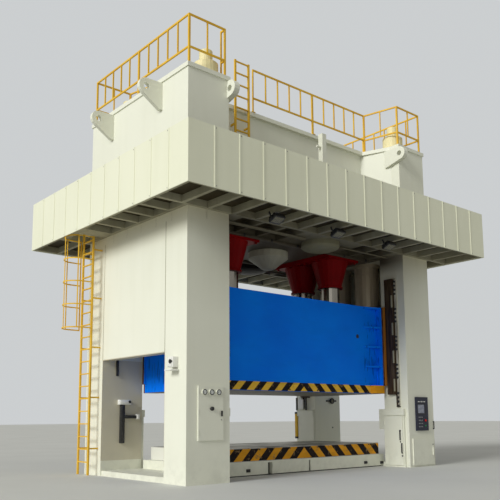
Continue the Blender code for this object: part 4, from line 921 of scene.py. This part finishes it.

# %% [markdown]
# ## Hooks on the bed, and strips of painted shade
#
# The bed's front covers carry small black lifting hooks. A hook is a block with a
# tongue pulled out of its front. Black strips in the two grooves and the toe recess are
# painted shade.

# %% Hooks, and strips of painted shade
BED_FRONT = -1.25
hook = block("bed_hook", (0.11, 0.07, 0.03))
edit_top(hook, ("inset", 0.012), ("extrude", 0.012), ("inset", 0.008), ("extrude", 0.01))
hook_places = [placed(x, BED_FRONT - 0.012, z, FRONT)
               for x, z in ((-1.82, 0.13), (2.31, 0.13), (2.98, 0.10))]
repeat_piece(soften(hook, 0.004), "bed_hooks", hook_places, black_plastic)
# Black strips of painted shade in the two grooves and the toe recess.
fit(cover_box("wide_groove_guard", (0.13, 0.25, 0.03), 0.003), (-1.13, -1.13, 0.158), FRONT)
fit(cover_box("narrow_groove_guard", (0.052, 0.25, 0.03), 0.003), (0.20, -1.20, 0.158), FRONT)
fit(cover_box("toe_guard", (6.0, 0.022, 0.03), 0.003), (0, -1.19, 0.0125), FRONT)
print("bed hooks:", len(hook_places))

# %% [markdown]
# ## Under the platform
#
# Small triangular gussets reach inwards from the frame's outer faces, in line with the
# joists. A gusset is a thin plate cut on its slant: bisect removes what lies outside the
# cutting plane and fills the cut. A pale channel runs along the crown's lower edge, with
# black clips and pipes beside it.

# %% Gussets in line with the joists
def gusset(reach, drop, thickness):
    """A triangular plate: its upright edge at x = 0 and its upper edge at z = 0."""
    plate = block("gusset", (reach, thickness, drop), (reach / 2, 0, -drop / 2))
    bpy.ops.object.mode_set(mode="EDIT")
    bpy.ops.mesh.select_all(action="SELECT")
    bpy.ops.mesh.bisect(plane_co=(reach, 0, -drop * 0.15), plane_no=(drop, 0, -reach * 1.1),
                        use_fill=True, clear_outer=True)
    bpy.ops.object.mode_set(mode="OBJECT")
    return soften(plate, 0.003, 1)


JOIST_BOTTOM, LADDER_SIDE = 5.78, 1.3
joist_lines = [-2.195 + 0.6271 * step for step in range(1, 7)]
gusset_places = []
for side in SIDES:
    gusset_places += [placed(side * HALF_X, y, JOIST_BOTTOM, spin=0 if side > 0 else math.pi)
                      for y in joist_lines if side > 0 or y < LADDER_SIDE]
    gusset_places += [placed(x, side * HALF_Y, JOIST_BOTTOM, spin=side * math.pi / 2)
                      for x in (-3.692, 3.692)]
repeat_piece(gusset(0.46, 0.22, 0.016), "joist_gussets", gusset_places, girder_paint)
print("gussets:", len(gusset_places))

# %% Channel, clips and pipes along the crown's lower edge
CHANNEL_LEVEL = 5.742
for name, side in (("crown_channel_front", -1), ("crown_channel_rear", 1)):
    repeat_piece(cover_box("crown_channel", (5.76, 0.07, 0.05), 0.012), name,
                 [placed(0, side * 1.12, CHANNEL_LEVEL, (0, side, 0))], cream_paint)
clip_places = [placed(-2.7 + 0.9 * step, side * 1.15, CHANNEL_LEVEL, (0, side, 0))
               for step in range(7) for side in SIDES]
repeat_piece(cover_box("clip", (0.05, 0.075, 0.03), 0.006), "channel_clips", clip_places,
             black_plastic)


def pipe_run(name, length, radius):
    """A pipe along X with a collar at one end, pulled out of one cylinder."""
    pipe = rod(name, 16, radius, length)
    edit_top(pipe, ("inset", -radius * 0.5), ("extrude", radius * 2), ("inset", radius * 0.5),
             ("extrude", radius))
    pipe.data.transform(Matrix.Rotation(math.pi / 2, 4, "Y"))
    return pipe


PIPES = [(-2.95, -0.30, -1.72), (-2.95, -0.30, -1.80), (1.00, 2.95, -1.72)]
for number, (start, end, y) in enumerate(PIPES):
    repeat_piece(pipe_run("pipe", end - start - 0.1, 0.024), "platform_pipe_" + str(number),
                 [placed((start + end) / 2, side * y, 5.752) for side in SIDES], girder_paint)
print("channel clips:", len(clip_places), "pipes:", len(PIPES) * 2)

# %% [markdown]
# ## Fixings of skirt, rails and ladder
#
# The skirt's seam strips are screwed on, the guard rail's posts stand on foot plates and
# the crown's ladder is tied to the wall with flat brackets. All are small, and they give
# the large plain areas their scale.

# %% Skirt screws, foot plates and ladder brackets
SCREW_LEVELS, BESIDE_STRIP = (5.80, 6.98), 0.035
FRONT_SKIRT, REAR_SKIRT, SIDE_SKIRT = -3.443, 3.703, 5.103
screw_places = []
for side, face in ((-1, FRONT_SKIRT), (1, REAR_SKIRT)):
    for x in [-5.1 + 0.6375 * step + BESIDE_STRIP for step in range(1, 16)]:
        screw_places += [placed(x, face, z, (0, side, 0)) for z in SCREW_LEVELS]
    for y in [-3.4197 + 0.6454 * step + BESIDE_STRIP for step in range(1, 11)]:
        screw_places += [placed(side * SIDE_SKIRT, y, z, (side, 0, 0)) for z in SCREW_LEVELS]
repeat_piece(disc("skirt_screw", 0.013, 0.004, 0.004), "skirt_screws", screw_places,
             machined_steel)

CROWN_TOP = 9.0
POSTS = [(-4.14, -2.09), (-3.14, -2.09), (-3.14, -1.93), (-4.14, 0), (-4.14, 2.09),
         (-3.14, 2.09), (-2.90, 1.07), (-2.84, 1.07), (0.03, 1.07), (2.90, 1.07), (3.14, 2.09),
         (4.14, 2.09), (4.14, 0), (4.14, -2.09), (3.14, -2.09), (2.90, -1.07), (0.73, -1.07),
         (-1.44, -1.07)]
repeat_piece(cover_box("post_foot", (0.11, 0.11, 0.016), 0.012), "post_feet",
             [placed(x, y, CROWN_TOP + 0.009) for x, y in POSTS], rail_yellow)
bracket_places = [placed(x, -1.085, z, FRONT)
                  for x in (-2.095, -1.665) for z in (6.3, 7.4, 8.5)]
repeat_piece(cover_box("ladder_bracket", (0.03, 0.05, 0.15), 0.004), "ladder_brackets",
             bracket_places, rail_yellow)
print("screws:", len(screw_places), "post feet:", len(POSTS))

# %% Small bolts of the striped plates, and the slide's plug
for name, y, z, body in (("bolster_hazard_plate", -1.2626, 0.60, "frame"),
                         ("slide_hazard_plate", -1.2923, 2.02, "slide")):
    spots = [placed(-2.45 + 0.98 * step, y, z, FRONT) for step in range(6)]
    repeat_piece(disc("plate_bolt", 0.022, 0.010, 0.006), name + "_bolts", spots,
                 black_plastic, body)
fit(disc("slide_plug", 0.055, 0.008, 0.014), (2.10, -1.28, 3.52), FRONT, panel_navy, "slide")
print("bolts on the striped plates")

# %% [markdown]
# ## Seams, boxes and lamps on the columns
#
# A dark sealed seam shows where the side panels meet the columns. The columns carry a
# safety sensor, cable trunking, a work lamp and two light curtains. Each is a soft edged
# box with a raised lid, which is how such covers are pressed.

# %% Seams of the side panels
seam_places = [placed(side_x * HALF_X, side_y * 1.35, 4.165, (side_x, 0, 0))
               for side_x, side_y in CORNERS]
repeat_piece(cover_box("panel_seam", (0.016, 2.86, 0.006), 0.003), "panel_seams", seam_places,
             girder_paint)
print("seams:", len(seam_places))

# %% Sensor, trunking and boxes
fit(cover_box("sensor_box", (0.20, 0.22, 0.14), 0.02), (-4.27, -1.76, 2.49), LEFT, box_white)
fit(disc("sensor_lens", 0.045, 0.03, 0.010), (-4.36, -1.80, 2.50), LEFT)
fit(cover_box("sensor_tray", (0.26, 0.03, 0.20), 0.008), (-4.30, -1.77, 2.325), LEFT, box_white)
fit(cover_box("trunking", (0.105, 0.92, 0.08), 0.012), (-3.66, 1.31, 1.21), FRONT)
fit(cover_box("trunking_arm", (0.34, 0.075, 0.07), 0.012), (-3.44, 1.31, 1.38), FRONT)
fit(cover_box("cable_bar", (0.05, 0.39, 0.05), 0.012), (-3.81, 1.325, 2.565), FRONT)
fit(cover_box("junction_box", (0.32, 0.12, 0.10), 0.015), (-3.61, 1.30, 1.735), FRONT, box_white)
fit(cover_box("arm_end", (0.09, 0.12, 0.09), 0.012), (-3.235, 1.305, 1.38), FRONT, box_white)
fit(disc("box_knob", 0.035, 0.03, 0.008), (-3.50, 1.235, 1.745), FRONT)
repeat_piece(cover_box("reader_post", (0.045, 0.39, 0.04), 0.008), "reader_posts",
             [placed(2.945, y, 1.75, RIGHT) for y in (1.60, 2.00)], black_plastic)
fit(cover_box("reader_bar", (0.20, 0.30, 0.05), 0.012), (2.93, 1.80, 1.74), RIGHT, box_white)
print("boxes on the columns")

# %% Work lamp and light curtains
work_lamp = [placed(3.80, 1.30, 1.84, FRONT)]
repeat_piece(ring_piece("lamp_ring", 0.070, 0.024, 1.2), "work_lamp_ring", work_lamp,
             black_plastic)
repeat_piece(disc("lamp_glass", 0.066, 0.02, 0.010), "work_lamp_glass", work_lamp, lens)
repeat_piece(cover_box("lamp_arm", (0.44, 0.05, 0.03), 0.008), "work_lamp_arm",
             [placed(3.80, 1.335, 1.84, FRONT)], black_plastic)
fit(disc("lamp_plug", 0.022, 0.02, 0.006), (3.85, 1.345, 1.02), FRONT)
CURTAIN_X, CURTAIN_Y = 3.02, 2.085
curtains = [placed(side * CURTAIN_X, CURTAIN_Y, 1.10, REAR) for side in SIDES]
caps = [placed(side * CURTAIN_X, CURTAIN_Y, z, REAR) for side in SIDES for z in (0.72, 1.48)]
repeat_piece(cover_box("light_curtain", (0.09, 0.72, 0.09), 0.014), "light_curtains", curtains,
             rail_yellow)
repeat_piece(cover_box("curtain_cap", (0.095, 0.06, 0.095), 0.014), "light_curtain_caps", caps,
             black_plastic)
print("light curtains:", len(curtains))

# %% [markdown]
# ## Floor, light and air
#
# The floor and the air are plain and pale. The light comes mainly from the left: a key
# light that draws the platform's shadow on the frame, and a very soft one that fills it.
# The world gives an even, slightly warm fill. Light Path picks what else is seen of it:
# a pale grey for the camera and a darker grey for mirrors, which adds no light.

# %% Floor and lamps
deselect_all()
bpy.ops.mesh.primitive_plane_add(size=320, location=(0, 0, 0))
floor = begin("floor")
floor_finish = Finish("floor_paint", Specular_IOR_Level=0.05)
floor_cloud = floor_finish.noise(0.35, 4)
floor_finish.surface(Base_Color=floor_finish.mix(floor_cloud.ramp(0.3, 0.7), (0.66, 0.67, 0.65),
                                                 (0.62, 0.63, 0.61)),
                     Roughness=0.6 + 0.1 * floor_cloud)
floor.data.materials.append(floor_finish.material)


def studio_light(name, energy, angle, direction, colour):
    """A distant light: the wider its angle, the softer its shadows."""
    lamp = bpy.data.objects.new(name, bpy.data.lights.new(name, "SUN"))
    bpy.context.scene.collection.objects.link(lamp)
    lamp.data.energy = energy
    lamp.data.angle = math.radians(angle)
    lamp.data.color = colour
    lamp.rotation_euler = Vector(direction).to_track_quat("-Z", "Y").to_euler()
    return lamp


key_light = studio_light("key_light", 2.12, 20, (0.88, 0.13, -0.42), (1.0, 1.0, 0.97))
side_light = studio_light("side_light", 0.7, 110, (0.95, 0.22, -0.10), (1.0, 0.98, 0.92))
print("lights:", key_light.data.energy, side_light.data.energy)

# %% World
world = bpy.data.worlds.new("air")
bpy.context.scene.world = world
world.use_nodes = True
air = world.node_tree


def background(node, colour, strength=1.0):
    """Set a background node's colour and strength and return its output."""
    node.inputs["Color"].default_value = (*colour, 1)
    node.inputs["Strength"].default_value = strength
    return node.outputs[0]


def pick_by_ray(ray, first, second):
    """The second background where the ray is of the kind, the first elsewhere."""
    mixed = air.nodes.new("ShaderNodeMixShader")
    for socket, source in zip(mixed.inputs, (ray, first, second)):
        air.links.new(source, socket)
    return mixed.outputs[0]


fill = background(air.nodes["Background"], (1.0, 0.99, 0.94), 0.33)
seen = background(air.nodes.new("ShaderNodeBackground"), (0.60, 0.62, 0.63))
mirrored = background(air.nodes.new("ShaderNodeBackground"), (0.42, 0.42, 0.39))
path = air.nodes.new("ShaderNodeLightPath")
either = air.nodes.new("ShaderNodeMath")
either.operation = "MAXIMUM"
air.links.new(path.outputs["Is Camera Ray"], either.inputs[0])
air.links.new(path.outputs["Is Glossy Ray"], either.inputs[1])
shown = pick_by_ray(path.outputs["Is Glossy Ray"], seen, mirrored)
air.links.new(pick_by_ray(either.outputs[0], fill, shown),
              air.nodes["World Output"].inputs["Surface"])
bpy.context.scene.view_settings.view_transform = "Standard"
print("world nodes:", len(air.nodes))
